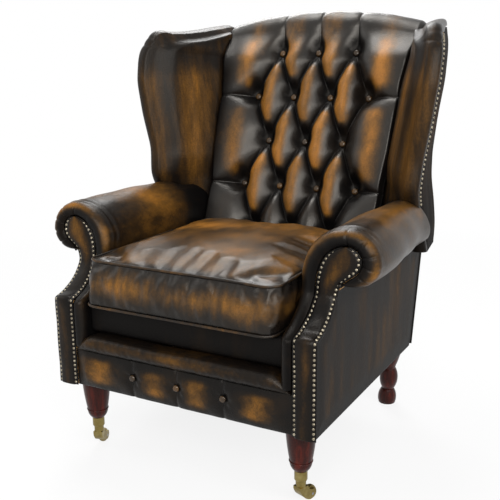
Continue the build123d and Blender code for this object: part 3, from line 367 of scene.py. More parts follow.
def finish_piece(name, vertices, faces, wear_and_shade, material, body, polish=1.0):
    """One piece of the chair from points in millimetres, with its level of wear and painted shade and how
    polished it is.
    """
    mesh = bpy.data.meshes.new(name)
    mesh.from_pydata(in_metres(vertices), [], faces)
    mesh.validate()
    for label, values in (("wear_and_shade", wear_and_shade), ("polish", polish)):
        values = np.broadcast_to(np.asarray(values, np.float32).ravel(), len(mesh.vertices))
        mesh.attributes.new(label, "FLOAT", "POINT").data.foreach_set("value", values.copy())
    mesh.shade_smooth()
    mesh.materials.append(material)
    piece = bpy.data.objects.new(name, mesh)
    bpy.context.scene.collection.objects.link(piece)
    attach(piece, body)
    return piece


def normals_of(grid):
    along = np.gradient(grid, axis=0)
    across = np.gradient(grid, axis=1)
    found = np.cross(along, across)
    return found / np.maximum(np.linalg.norm(found, axis=2, keepdims=True), 1e-9)


def outward(grid, core):
    """1 or -1, so that the grid's normals point away from the core."""
    away = grid - np.asarray(core, float)
    return 1 if np.sum(normals_of(grid) * away) > 0 else -1


def skin(name, grid, wear_and_shade, core, material, thick=3.0, polish=1.0):
    """A grid of (x, depth, height) points as the outside of a hide of that thickness."""
    rows, cols = grid.shape[:2]
    way = outward(grid, core)
    inner = grid - normals_of(grid) * way * thick
    vertices = np.concatenate([grid.reshape(-1, 3), inner.reshape(-1, 3)])
    index = np.arange(rows * cols).reshape(rows, cols)
    quads = quads_of(index)
    rim = np.concatenate([index[:, 0], index[-1, 1:], index[-2::-1, -1], index[0, -2:0:-1]])
    behind = rows * cols
    faces = np.concatenate([quads, quads[:, ::-1] + behind, walls_between(rim, rim + behind)])
    if way < 0:
        faces = faces[:, ::-1]
    wear_and_shade, polish = (np.broadcast_to(values, (rows, cols)).ravel() for values in (wear_and_shade, polish))
    wear_and_shade, polish = np.concatenate([wear_and_shade, wear_and_shade * 0.3]), np.tile(polish, 2)
    return finish_piece(name, vertices, faces.tolist(), wear_and_shade, material, "chair_body", polish)


# Buttoned inside back

BUTTONS = [(c, r) for r in (3, 2, 1, 0, -1) for c in ((-3, -1, 1, 3) if r % 2 == 0 else (-2, 0, 2))]


def back_pleats():
    """Lines between the buttons, straight up from the top row and level out from the outer buttons."""
    lines = []
    for column, row in BUTTONS:
        x, t = column * COLUMN, row * ROW
        ends = [(x + step * COLUMN, t - ROW) for step in (-1, 1) if (column + step, row - 1) in BUTTONS]
        if row == 3:
            ends.append((x * 1.04, t + 400))
        if row == -1:
            ends.append((x, t - 300))
        if abs(column) == 3:
            ends.append((math.copysign(262.0, column), t - 10))
        lines += [((x, t), end) for end in ends]
    return lines


def distance_to(x, t, line):
    (ax, at), (bx, bt) = line
    dx, dt = bx - ax, bt - at
    share = np.clip(((x - ax) * dx + (t - at) * dt) / (dx * dx + dt * dt), 0, 1)
    return np.hypot(x - ax - share * dx, t - at - share * dt)


def tufts(x, t):
    """Stand of the leather above the button plane, and how raised each spot is from 0 to 1, darkened round
    each button as painted shade in the pit.
    """
    dome, crease = np.ones_like(x), np.zeros_like(x)
    for line in back_pleats():
        away = distance_to(x, t, line)
        if abs(line[0][1] - line[1][1]) < 20:
            deep = 1 - smooth(168.0, 250.0, np.abs(x)) * 0.8
            reach = 15.0
        elif line[1][1] > line[0][1]:
            deep = 1 - 0.8 * smooth(3 * ROW + 25.0, 3 * ROW + 85.0, t)
            reach = 17.0
        else:
            deep, reach = 1.0, 19.0
        dome *= 1 - deep * np.exp(-away / reach)
        crease = np.maximum(crease, (0.4 + 0.6 * deep) * np.exp(-away / 4.0))
    pit, dark, tuck = np.zeros_like(x), np.zeros_like(x), np.zeros_like(x)
    for order, (column, row) in enumerate(BUTTONS):
        dx, dt = x - column * COLUMN, t - row * ROW
        pit = np.maximum(pit, np.exp(-(((dx / 21.0) ** 2 + ((dt - 7.0) / 28.0) ** 2) ** 1.3)))
        # dark: painted shade in the pit round each button, reaching further above it than below
        dark = np.maximum(dark, np.exp(-((dx / 22.0) ** 2 + ((dt - 17.0) / 34.0) ** 2)))
        away = np.hypot(dx, dt * 0.8)
        tuck += np.exp(-(((away - 22) / 11) ** 2)) * np.cos(np.arctan2(dt, dx) * 7 + order * 1.7) * 0.35
    lift = (1 - pit) * (15.0 + 42.0 * dome - 4.0 * crease) + tuck
    return lift, dome * (1 - dark), crease


def pillow_side(x, t):
    """Place of each spot across its pillow, from -1 to 1, and the pillow's amber, below 0 in plain panels."""
    nearest, side, within = np.full_like(x, 99.0), np.zeros_like(x), np.zeros_like(x)
    for row in range(-1, 4):
        for column in range(-4, 5):
            if (column + row) % 2 == 0:
                dx, dt = (x - column * COLUMN) / COLUMN, (t - row * ROW) / ROW
                away = np.abs(dx) + np.abs(dt)
                closer = away < nearest
                amber = -1.0 if abs(column) > 2 else 0.25 if row < 0 else 1.0
                side = np.where(closer, dx, side)
                within = np.where(closer, amber, within)
                nearest = np.minimum(nearest, away)
    return side, within


def half_width(height):
    return np.interp(height, [600.0, 680.0, 850.0, 1021.0], [260.0, 269.0, 275.0, 301.0])


def on_slope(x, n, t):
    """A point given across, out from and up the raked plane of the buttons."""
    return np.stack([x, BUTTON_DEPTH + t * SIN - n * COS, BUTTON_HEIGHT + t * COS + n * SIN], -1)


def make_back():
    rows, columns, turns = 290, 251, 45
    share = np.linspace(-1, 1, columns)
    crest = 1057.0 - 37.0 * share**2
    roll_from = (crest - BUTTON_HEIGHT + 6.6) / COS - 45.0
    low = (398.0 - BUTTON_HEIGHT) / COS
    rise = np.linspace(0, 1, rows)[:, None]
    turn = np.linspace(0, math.pi * 0.98, turns + 1)[1:, None]
    t_all = np.concatenate([low + (roll_from - low) * rise, roll_from + turn * 26.0])
    angle = np.concatenate([np.zeros((rows, columns)), np.broadcast_to(turn, (turns, columns))])
    x = share * half_width(BUTTON_HEIGHT + np.minimum(t_all, roll_from) * COS)
    lift, wear_and_shade, crease = tufts(x, t_all)
    edge = 1 - np.abs(share)
    lift = lift * (0.70 + 0.30 * smooth(0.0, 0.05, edge))
    lift *= 1 - 0.62 * smooth(340.0, 450.0, t_all) - 0.25 * smooth(0.9, 2.9, angle)
    lift *= 1 - 0.95 * smooth(1.6, 2.5, angle)
    lift += waves(x, t_all, 0.0, 60.0, SEED) * 0.7 - 4.0 * crease * smooth(390.0, 430.0, t_all)
    n = -19.0 * (1 - np.cos(angle)) + lift * np.cos(angle)
    t = np.where(angle > 0, roll_from + 31.0 * np.sin(angle) + lift * np.sin(angle), t_all)
    amber = back_amber(x, t_all, wear_and_shade)
    # Darker in the creases, partly dark finish and partly painted shade, and painted shade along the side
    # edges next to the wings; darker over the rolled top
    amber *= 0.88 * (1 - 0.8 * crease) * smooth(0.0, 0.10, edge) * (1 - 0.5 * smooth(0.3, 1.6, angle))
    # Reflection kept low in the pits and creases, at the side edges and along the lower left edge, to go with
    # the painted shade there
    polish = 0.18 + 0.82 * smooth(0.0, 0.20, wear_and_shade) * (0.4 + 0.6 * smooth(0.0, 0.06, edge))
    polish *= 1 - 0.85 * (1 - smooth(-262.0, -215.0, x)) * (1 - smooth(300.0, 380.0, t_all))
    grid = on_slope(x, n, t)
    amber = np.clip(amber, 0, 1)
    piece = skin("buttoned_back_leather", grid, amber, (0, 760, 700), HIDE_BACK, polish=polish)
    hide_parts("buttoned_back")


def back_amber(x, t, wear_and_shade):
    """Rubbed amber left of each pillow's crown, and in the middle of the plain panels beside the buttons. The
    right half of each pillow is painted dark to suit the sheen from the lamp on that side: painted light, not
    wear.
    """
    side, within = pillow_side(x, t)
    # Painted light: the pillow's amber stops towards its right half, the side that the lamp on the right
    # lights
    pillow = (1 - 0.9 * smooth(-0.05, 0.55, side)) * np.clip(within, 0, 1)
    pillow *= 1 - 0.45 * smooth(390.0, 440.0, t)
    darker_low = np.where(x > 0, 0.9, 0.45) * (1 - smooth(-30.0, 30.0, t))
    panel = bump(np.abs(x), np.where(x > 0, 207.0, 196.0), 33.0) * (1 - darker_low)
    from_seam = np.minimum(np.abs(t - 2 * ROW + 10), np.abs(t + 10))
    panel *= np.where((x < 0) & (t < 2 * ROW), 0.72, 1.0) * smooth(4.0, 46.0, from_seam)
    panel *= 1 - 0.35 * smooth(400.0, 430.0, t)
    cloud = waves(x, t * 0.6, 0.0, 130.0, SEED + 1)
    return smooth(0.06, 0.36, wear_and_shade) * (np.where(within < 0, panel, pillow) + 0.07 * cloud)


def dome_points(radius, height, rings, around):
    """Rings of a low dome, from its rim to its crown, as (ring, around) points standing on z 0."""
    spin = np.linspace(0, 2 * math.pi, around, endpoint=False)
    rise = np.linspace(0, math.pi / 2, rings, endpoint=False)[:, None]
    reach = radius * np.cos(rise) ** 0.5
    return grid_points(reach * np.cos(spin), reach * np.sin(spin), height * np.sin(rise))


def domes(name, places, radius, height, material, slot, rings, around, sink, puff=0.0):
    """Many small domes in one piece. Each place is a point and the way that it faces."""
    vertices, faces, shades = [], [], []
    rows = dome_points(radius, height, rings, around)
    spin = np.arctan2(rows[..., 1], rows[..., 0])
    foot = rows[:1] * [1, 1, 0] - [0, 0, sink + 0.01]
    ends = [[0, 0, height], [0, 0, -sink - 0.01]]
    for order, (point, way) in enumerate(places):
        turn = np.array(Vector(way).normalized().to_track_quat("Z", "Y").to_matrix())
        lines = rows.copy()
        lines[..., 2] += puff * np.cos(spin * 5 + order) * np.linspace(1, 0.2, rings)[:, None]
        local = np.concatenate([np.concatenate([foot, lines]).reshape(-1, 3), ends])
        base = len(vertices)
        vertices.extend((turn @ local.T).T + np.asarray(point))
        shades.extend([0.1] * around * 2 + [0.62] * (len(local) - 2 * around))
        last, top = base + rings * around, base + (rings + 1) * around
        for step in range(around):
            after = (step + 1) % around
            for low in range(base, last, around):
                faces.append((low + step, low + after, low + after + around, low + step + around))
            faces.append((last + step, last + after, top))
            faces.append((base + after, base + step, top + 1))
    return finish_piece(name, vertices, faces, shades, material, "chair_body")


def make_buttons():
    covered = dict(material=HIDE_BUTTON, slot="button_leather", rings=6, around=24, sink=3.0)
    places = [(on_slope(c * COLUMN, 2.0, r * ROW), (0, -COS, SIN)) for c, r in BUTTONS]
    back = domes("back_buttons_leather", places, 9.0, 5.6, puff=0.25, **covered)
    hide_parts("back_buttons")
    places = [((x, -1.0, BORDER_BUTTON_HEIGHT), (0, -1, 0)) for x in BORDER_BUTTONS]
    low = domes("border_buttons_leather", places, 8.0, 5.0, puff=0.2, **covered)
    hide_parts("border_buttons")


# Arms, facings and their nails

FACING_NAIL_PITCH, WING_NAIL_PITCH = 10.5, 10.8
PLEATS, PLEAT_ROWS = (70, 104, 138, 176, 226), 26


def nail_row(name, places):
    domes(name, places, 3.5, 2.4, NAIL, "castor_brass", rings=4, around=12, sink=1.0)


def front_line(count):
    """Depth and height along the facing: up the post, over the knee, up the neck and the scroll."""
    run = np.concatenate(
        [
            np.stack([np.zeros(90), np.linspace(BASE, KNEE, 90)], -1)[:-1],
            arc((0, KNEE), (56, 421), (96, NECK), 60)[:-1],
            np.stack([np.linspace(96, 105.5, 50), np.linspace(NECK, 573, 50)], -1),
        ]
    )
    return soften(even(run, count), 3)


LINE = front_line(160)


def face_depth(height):
    return np.interp(height, LINE[:, 1], LINE[:, 0])


def keyhole_line(stand_off=0.0):
    """Line of nails on the right facing, up its inner side, over the scroll and down its outer side."""
    up_inner = [(290, 192), (290, 400), (293.5, 436), (296, 466), (296.3, 486), (298, 506), (302.5, 527)]
    scroll = [(312, 545), (327, 557.5), (346, 565), (357, 566), (367.5, 563.5), (375, 558.5)]
    scroll += [(381.3, 550.5), (383.2, 540.3), (381, 530.5), (375.5, 522), (368, 516), (351, 504.3)]
    down_outer = [(342.8, 496.5), (337, 486), (334.3, 474), (333.3, 462), (333, 440), (333, 192)]
    line = soften(even(up_inner + scroll + down_outer, 500), 30)
    ahead = np.gradient(line, axis=0)
    ahead /= np.linalg.norm(ahead, axis=1, keepdims=True)
    return line + np.stack([-ahead[:, 1], ahead[:, 0]], -1) * stand_off


def part_of_line(line, low, top, inner_side):
    """The inner or outer side of the keyhole line between two heights, from low to top."""
    crown = int(np.argmax(line[:, 1]))
    half = line[: crown + 1] if inner_side else line[: crown - 1 : -1]
    return half[(half[:, 1] >= low) & (half[:, 1] <= top)]


def make_facing(side, tag):
    edge = keyhole_line(6.0)
    left, right = (part_of_line(edge, 0.0, 600.0, inner_side) for inner_side in (True, False))
    top = edge[:, 1].max()
    rows = even(np.concatenate([LINE[LINE[:, 1] < top - 4.5], [[105.3, top - 0.6]]]), 230)
    depth, rise = rows[:, :1], rows[:, 1:]
    left_x, right_x = (np.interp(rise, line[:, 1], line[:, 0]) for line in (left, right))
    across = np.linspace(0, 1, 33)[None, :]
    x = left_x * (1 - across) + right_x * across
    slope = np.gradient(rows, axis=0)
    slope /= np.linalg.norm(slope, axis=1, keepdims=True)
    arch = np.sin(math.pi * across)
    puff = 5.0 * arch**0.6 + 1.0 - 2.2 * bump(np.minimum(x - left_x, right_x - x), 5.0, 3.0)
    puff = puff + (2.5 * bump(rise, KNEE - 12, 16.0) - 3.0 * bump(rise, KNEE + 8, 5.0)) * arch
    puff += waves(x, depth, rise, 55.0, SEED + 3 + side) * 0.5
    grid = grid_points(x * side, depth - slope[:, 1:] * puff, rise + slope[:, :1] * puff)
    amber = arch**2 * (0.40 + 0.20 * bump(rise, 525.0, 40.0) - 0.3 * bump(rise, 430.0, 40.0))
    piece = skin("arm_facing_leather_" + tag, grid, amber, (side * 310, 200, 350), HIDE_FACING)
    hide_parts("arm_facing_" + tag)
    nail_row("facing_nails_" + tag, facing_nail_places(side))


def facing_nail_places(side):
    line = keyhole_line()
    path = even(np.stack([line[:, 0], face_depth(line[:, 1]), line[:, 1]], -1), 900)
    path[:, 1] = face_depth(path[:, 2])
    path = even(path, 900)
    reach = 2.0
    places = []
    for x, depth, height in even(path, int(run_along(path)[-1] / FACING_NAIL_PITCH)):
        ahead = np.array([face_depth(height + reach) - face_depth(height - reach), 2 * reach])
        ahead /= np.linalg.norm(ahead)
        places.append(((x * side, depth - ahead[1] * 1.2, height + ahead[0] * 1.2), (0, -ahead[1], ahead[0])))
    return places


def arm_lines(count):
    """Matched outlines seen from the front: the padded arm and the keyhole inside it, as (x, height)."""
    outer = [
        np.array([(339, 494), (352, 489), (370, 487)], float),
        arc((370, 487), (409.3, 501.1), (426, 534), 30),
        arc((426, 534), (406.2, 583), (350, 604), 40),
        arc((350, 604), (280.6, 573), (255, 497), 50),
        np.array([(255, 497), (255, 286)], float),
    ]
    around = keyhole_line(7.0)
    outside = part_of_line(around, 488.0, 600.0, False)
    inside = part_of_line(around, 286.0, 600.0, True)[::-1]
    turn, side_on = (int(np.argmin(np.abs(outside[:, 1] - height))) for height in (503.0, 540.0))
    inner = [
        outside[: turn + 1],
        outside[turn : side_on + 1],
        outside[side_on:],
        inside[inside[:, 1] > 486],
        inside[inside[:, 1] < 488],
    ]
    counts = [int(count * share) for share in (0.05, 0.14, 0.23, 0.28, 0.30)]
    first, second = (
        soften(np.concatenate([even(part, number) for part, number in zip(parts, counts)]), 3)
        for parts in (outer, inner)
    )
    return first, second


def pleated_front(outer, inner, lip, place):
    """Rows of the arm's leather from the keyhole out to its rounded front edge, gathered in pleats."""
    inner_height = inner[:, 1]
    on_face = np.where(outer[:, 0] > 300, face_depth(inner_height), face_depth(np.minimum(inner_height, 540)))
    front = soften(on_face, 4) - 7.0
    reach, over = 17.0, math.radians(142)
    rows = []
    for share in np.linspace(1, 0, PLEAT_ROWS):
        angle = share * over
        plan = outer + (inner - outer) * (1 - math.cos(angle)) / (1 - math.cos(over))
        depth = front + reach * (1 - math.sin(angle))
        depth = depth + (lip + 14 - front - reach) * (1 - smooth(0, 0.5, share))
        gather = 2.0 * math.sin(math.pi * min(1, 0.15 + share * 0.85))
        depth = depth + gather * sum(bump(place, spot, 3.2) for spot in PLEATS)
        rows.append(grid_points(plan[:, 0], depth, plan[:, 1]))
    return rows


def make_arm(side, tag):
    outer, inner = arm_lines(200)
    place = run_along(outer)
    x0, z0 = outer.T
    lip = np.where(z0 < 520, face_depth(np.minimum(z0, 470)), 103.0)
    lip = soften(np.where(x0 > 300, 103.0, np.minimum(lip, 103.0)), 6)
    end = soften(np.where(x0 > 300, 478 + np.clip(604 - z0, 0, 140) * 100 / 144 + 8, 600.0), 12)
    rows = pleated_front(outer, inner, lip, place)
    for share in np.linspace(0, 1, 120)[1:]:
        depth = (lip + 14) + (end - lip - 14) * share
        taper = 0.36 * smooth(140.0, 540.0, depth)
        rows.append(grid_points(x0 - np.clip(x0 - 350.0, 0, None) * taper, depth, z0))
    grid = np.array(rows)
    # The padding swells a little between the front and the wing, with soft ridges behind the front edge
    normal = normals_of(grid) * outward(grid, (330, 300, 520))
    away = grid[..., 1] - lip
    body = smooth(0, 40, away)
    ridge = 2.3 * bump(away, 24.0, 5.5) + 1.6 * bump(away, 44.0, 8.0) - 1.4 * bump(away, 34.0, 5.0)
    upper = smooth(150, 210, place) * (1 - smooth(380, 470, place))
    swell = 2.5 * np.sin(np.clip(away / 380, 0, 1) * math.pi) * body
    x, depth, height = np.moveaxis(grid, -1, 0)
    wobble = waves(x, depth * 0.6, height, 90.0, SEED + 11 + side) * 1.4 * body
    tug = sum(bump(place, spot, 3.0) for spot in PLEATS) * bump(away, 6.0, 16.0)
    grid = grid + normal * (swell + wobble + ridge * upper - tug)[..., None]
    # Rubbed on the top and the outer roll, darker low on the inner side; painted shade towards the wing, and
    # dark in the pleated rows by the keyhole, partly dark finish and partly painted shade
    cloud = 0.85 + 0.3 * waves(*np.moveaxis(grid, -1, 0), 140.0, SEED + 17)
    wear_and_shade = 0.30 + 0.45 * bump(away, 230.0, 120.0) * bump(place, 290.0, 90.0)
    wear_and_shade += 0.16 * bump(away, 4.0, 16.0) * bump(place, 285.0, 60.0)
    wear_and_shade += 0.40 * bump(away, 270.0, 190.0) * bump(place, 175.0, 55.0) * cloud
    # Painted shade where the arm meets the wing
    wear_and_shade -= 0.5 * smooth(330, 420, away) * bump(place, 330.0, 90.0)
    wear_and_shade = np.clip(wear_and_shade - 0.25 * smooth(400, 470, place), 0, 1)
    turned = np.linspace(0, 1, PLEAT_ROWS)[:, None]
    streaks = 0.20 + 0.22 * waves(x0, 0.0, z0, 90.0, SEED + 15)
    # dark: the recess behind the front ring, partly dark finish and partly painted shade
    dark = 0.06 + 0.94 * smooth(0.30, 0.62, turned)
    wear_and_shade[:PLEAT_ROWS] = np.clip(wear_and_shade[:PLEAT_ROWS] * dark + bump(turned, 0.72, 0.22) * streaks, 0, 1)
    # Reflection kept low towards the wing and in the recess, with the painted shade there
    polish = 1 - 0.8 * smooth(330, 420, away) * bump(place, 330.0, 110.0)
    polish[:PLEAT_ROWS] *= 0.35 + 0.65 * smooth(0.15, 0.5, turned)
    grid = grid * [side, 1, 1]
    piece = skin("arm_leather_" + tag, grid, wear_and_shade, (side * 330, 300, 520), HIDE_ARM, polish=polish)
    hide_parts("arm_" + tag)


# Wings and outside leather

WING_UP = 460.0 + 552.0 * np.array([0, 0.09, 0.20, 0.30, 0.43, 0.60, 0.76, 0.88, 0.96, 1.0])
WING_X = 383.0 + 40.0 * np.array([0, 0, 0, 0.05, 0.17, 0.62, 0.94, 1.0, 0.80, 0.35])
WING_Y = 466.0 + 100.0 * np.array([1.0, 0.70, 0.27, 0.0, 0.11, 0.04, 0.02, 0.16, 0.34, 0.62])
WING_REAR = 336.0 + 30.0 * np.array([1.0, 0.95, 0.62, 0.20, 0.0, 0.13, 0.42, 0.40, 0.32, 0.10])
FINE = np.linspace(455.0, 1016.0, 300)
WING_CORNER, WING_SIDE_TOP = 0.14, 956.0


def rounded(values):
    return soften(np.interp(FINE, WING_UP, values), 90)


WING_X, WING_Y, WING_REAR = rounded(WING_X), rounded(WING_Y), rounded(WING_REAR)


def wing_frame(height):
    """Lead and tail of the outside leather and the way across it, at a height."""
    lead = np.stack([np.interp(height, FINE, WING_X), np.interp(height, FINE, WING_Y) + 12.0], -1)
    tail = np.stack([np.interp(height, FINE, WING_REAR), rear_depth(height) - 4.3], -1)
    along = tail - lead
    along = along / np.linalg.norm(along, axis=-1, keepdims=True)
    across = np.stack([-np.abs(along[..., 1]), -np.abs(along[..., 0])], -1)
    return lead, tail, along, across


def wing_top(share):
    """Height of the wing's top edge from its front corner to the rear."""
    corner = np.sqrt(1 - (1 - np.clip(share / WING_CORNER, 0, 1)) ** 2)
    return WING_SIDE_TOP + 36.0 * corner + 22.0 * smooth(0.25, 1.0, share)


def wing_edge():
    """Rim of the outside leather as (share of depth, height), up the front, round the corner and back."""
    up = np.stack([np.zeros(150), np.linspace(460.0, WING_SIDE_TOP, 150)], -1)
    turn = WING_CORNER * (1 - np.cos(np.linspace(0, math.pi / 2, 36)[1:]))
    back = np.linspace(WING_CORNER, 1.0, 70)[1:]
    return np.concatenate([up, np.stack([turn, wing_top(turn)], -1), np.stack([back, wing_top(back)], -1)])


def make_wing(side, tag):
    share, height = wing_edge().T
    lead, tail, along, across = wing_frame(height)
    outer = lead + (tail - lead) * share[:, None]
    join_x = half_width(height) - 9.0
    join_y = BUTTON_DEPTH + BACK_LEAN * (height - BUTTON_HEIGHT) - 38.0
    inner_lead = lead + across * 44.0 + along * 6.0
    join = np.stack([join_x, np.maximum(join_y, inner_lead[:, 1] + 20)], -1)
    rear = np.stack([join_x, rear_depth(height) - 12.0], -1)
    before = np.clip(share / 0.72, 0, 1)[:, None]
    after = np.clip((share - 0.72) / 0.28, 0, 1)[:, None]
    inner = inner_lead * (1 - before) + join * before
    inner = inner * (1 - after) + rear * after
    # Direction in which the padded rim stands out: forward on the front edge, up on the top edge
    turn = smooth(0.0, 0.12, share)[:, None]
    out = np.concatenate([-along * (1 - turn), turn], 1)
    out /= np.linalg.norm(out, axis=1, keepdims=True)
    outer = grid_points(*outer.T, height + 0.5 + 3.0 * turn[:, 0])
    inner = grid_points(*inner.T, height - 10.0 * turn[:, 0])
    stand = (19.0 + 4.0 * turn[:, 0] + 9.0 * bump(share, 0.06, 0.06))[:, None]
    stand = stand * np.sqrt(1 - 0.97 * np.clip((share - 0.965) / 0.035, 0, 1) ** 2)[:, None]
    rows = []
    for w in np.linspace(0, 1, 24):
        angle = w * math.pi
        point = outer + (inner - outer) * (1 - math.cos(angle)) / 2
        rows.append(point + out * stand * math.sin(angle) ** 0.6)
    # Inner face from the padded rim to the seam with the back
    seam_height = np.where(share > 0, 940.0 + 62.0 * np.clip(share / 0.72, 0, 1), height * 0.967 + 15.5)
    seam_height = soften(seam_height, 10)
    seam_x = half_width(seam_height) - 6.0
    seam_y = BUTTON_DEPTH + BACK_LEAN * (seam_height - BUTTON_HEIGHT) - 22.0
    seam = grid_points(seam_x, np.maximum(seam_y, inner[:, 1] + 2.0), seam_height)
    tuck = seam + [3.0, 30.0, 0]
    tuck[:, 1] = np.minimum(tuck[:, 1], np.maximum(rear_depth(seam_height) - 9.0, seam[:, 1] + 1.0))
    for w in np.linspace(0, 1, 70)[1:]:
        rows.append(inner * (1 - w) + seam * w)
    for w in np.linspace(0, 1, 10)[1:]:
        rows.append(seam * (1 - w) + tuck * w)
    grid = np.array(rows)
    grid[16:74] = soften(grid[16:74], 110, axis=0)
    flat = smooth(0.08, 0.25, share)[None, :, None] * 0.85
    grid[15:78] = grid[15:78] * (1 - flat) + soften(grid[15:78], 260, axis=0) * flat
    grid[22:] = soften(grid[22:], 4, axis=0)
    normal = normals_of(grid)
    normal *= 1 if np.sum(normal[40:80, 40:120, 0]) < 0 else -1
    reach = np.linspace(0, 1, len(rows))[:, None] + 0 * grid[..., 0]
    inside = smooth(0.22, 0.4, reach) * (1 - smooth(0.8, 0.93, reach))
    puff = 15.0 * inside * smooth(600, 680, grid[..., 2])
    groove = -0.6 * bump(reach, 0.30, 0.05)
    x, depth, rise = np.moveaxis(grid, -1, 0)
    folds = waves(x * 2, depth * 2, rise * 0.25, 120.0, SEED + 21 + side) * 0.5 * (0.4 + inside)
    rim_pleat = sum(bump(share, spot, 0.006) for spot in (0.02, 0.05, 0.09, 0.16, 0.30))
    pinch = -1.4 * rim_pleat * (1 - smooth(0.0, 0.35, reach))
    grid = grid + normal * (puff + groove + folds + pinch)[..., None]
    # Vertical wear: amber down the padded rim and the middle of the inner face, darker near the top edge and
    # in the groove behind the rim; painted shade at the seam with the back and over the lower part beside the
    # arm
    rise = grid[..., 2]
    upper = smooth(560, 700, rise)
    wear_and_shade = 0.32 * bump(reach, 0.20, 0.12) + 0.43 * bump(reach, 0.58, 0.22) + 0.22
    wear_and_shade *= (0.55 + 0.45 * upper) * (0.45 + 0.55 * smooth(10.0, 75.0, wing_top(share) - rise))
    # Painted shade at the seam with the back
    wear_and_shade -= 0.12 * bump(reach, 0.33, 0.05) + 0.4 * smooth(0.86, 0.96, reach)
    wear_and_shade = np.clip(wear_and_shade, 0, 1)
    grid = grid * [side, 1, 1]
    # Reflection kept low at the seam with the back and over the lower part, with the painted shade there
    polish = (1 - 0.85 * smooth(0.74, 0.92, reach)) * (0.35 + 0.65 * upper)
    piece = skin("wing_leather_" + tag, grid, wear_and_shade, (side * 600, 640, 800), HIDE_WING, polish=polish)
    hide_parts("wing_" + tag)


def make_outside_wing(side, tag):
    depth_share = 1 - np.cos(np.linspace(0, math.pi / 2, 90))
    depth_share = 0.5 * depth_share + 0.5 * np.linspace(0, 1, 90)
    up = np.linspace(0, 1, 160)[:, None]
    height = 459.0 + (wing_top(depth_share) - 459.0) * up
    lead, tail = wing_frame(height)[:2]
    x, depth = np.moveaxis(lead + (tail - lead) * depth_share[:, None], -1, 0)
    edge = nearest_of(depth_share * 6, (1 - depth_share) * 8, up * 8, (1 - up) * 8)
    ripple = waves(x, depth * 2, height * 0.3, 120.0, SEED + 31 + side)
    grid = grid_points((x + (3.0 + ripple) * smooth(0, 1, edge)) * side, depth, height)
    wear_and_shade = 0.16 + 0.26 * bump(depth_share, 0.4, 0.25) * bump(up, 0.6, 0.3)
    wear_and_shade = np.clip(wear_and_shade * smooth(0, 0.8, edge), 0, 1)
    piece = skin("outside_wing_leather_" + tag, grid, wear_and_shade, (0, 640, 740), HIDE_OUTSIDE, thick=2.5)
    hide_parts("outside_wing_" + tag)
    nail_row("wing_nails_" + tag, wing_nail_places(side))


def wing_nail_places(side):
    rim = wing_edge()
    line = rim[(rim[:, 1] > 590.0) & (rim[:, 0] < 0.16)]
    lead, tail, along = wing_frame(line[:, 1])[:3]
    spot = lead + along * 5.0 + (tail - lead) * line[:, :1]
    rise = line[:, 1] - 3.0 * smooth(0.0, 0.1, line[:, 0])
    path = even(grid_points(spot[:, 0] + 1.5, spot[:, 1], rise), 800)
    points = even(path, int(run_along(path)[-1] / WING_NAIL_PITCH)) * [side, 1, 1]
    return [(point, (side * 0.94, -0.30, 0.05)) for point in points]


def make_outside_arm(side, tag):
    lead = 2.4
    along = np.linspace(0, 1, 150)[None, :]
    up = np.linspace(0, 1, 90)[:, None]
    flat = lead + (rear_depth(300) - 10.0) * along
    crest_depths = [0, 56, 96, 99, 552, 560, 900]
    crest = np.interp(flat, crest_depths, [KNEE - 1, 421, NECK, 486.5, 486.5, 460, 460])
    height = BASE + 1.0 + (crest - BASE - 1.0) * up
    depth = lead + (rear_depth(height) - 4.6 - lead) * along
    depth = depth - 13.0 * (1 - smooth(0, 30, height - BASE)) ** 2 * smooth(0.9, 1.0, along)
    edge = nearest_of(along * 14, (1 - along) * 12, up * 6, (1 - up) * 5)
    ripple = waves(depth * 1.6, height * 0.35, 0.0, 150.0, SEED + 41 + side)
    grid = grid_points((334.6 + (1.8 + 0.4 * ripple) * smooth(0, 1, edge)) * side, depth, height)
    cloud = waves(depth * 2, height * 0.3, 0.0, 120.0, SEED + 43)
    wear_and_shade = np.clip(0.28 * smooth(0, 1, edge) + 0.1 * cloud, 0, 1)
    piece = skin("outside_arm_leather_" + tag, grid, wear_and_shade, (0, 350, 330), HIDE_SIDE, thick=6.0)
    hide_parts("outside_arm_panel_" + tag)


def make_outside_back():
    share = np.linspace(-1, 1, 160)[None, :]
    up = np.linspace(0, 1, 200)[:, None]
    height = 188.0 + (1034.0 - 24.0 * share**2 - 188.0) * up
    x = share * soften(np.where(height < 459.0, 337.0, np.interp(height, FINE, WING_REAR)), 3)
    edge = nearest_of((1 - np.abs(share)) * 12, up * 14, (1 - up) * 14)
    ripple = waves(x * 1.5, height * 0.5, 0.0, 150.0, SEED + 51)
    puff = (3.4 + 0.9 * ripple) * smooth(0, 1, edge)
    grid = grid_points(x, rear_depth(height) - 3.4 + puff, height)
    cloud = waves(x, height * 0.4, 0.0, 200.0, SEED + 52)
    wear_and_shade = np.clip(0.34 * smooth(0, 1, edge) + 0.12 * cloud, 0, 1)
    piece = skin("outside_back_leather", grid, wear_and_shade, (0, 400, 600), HIDE_SIDE)
    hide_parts("outside_back_panel")


# Front border, roll and deck


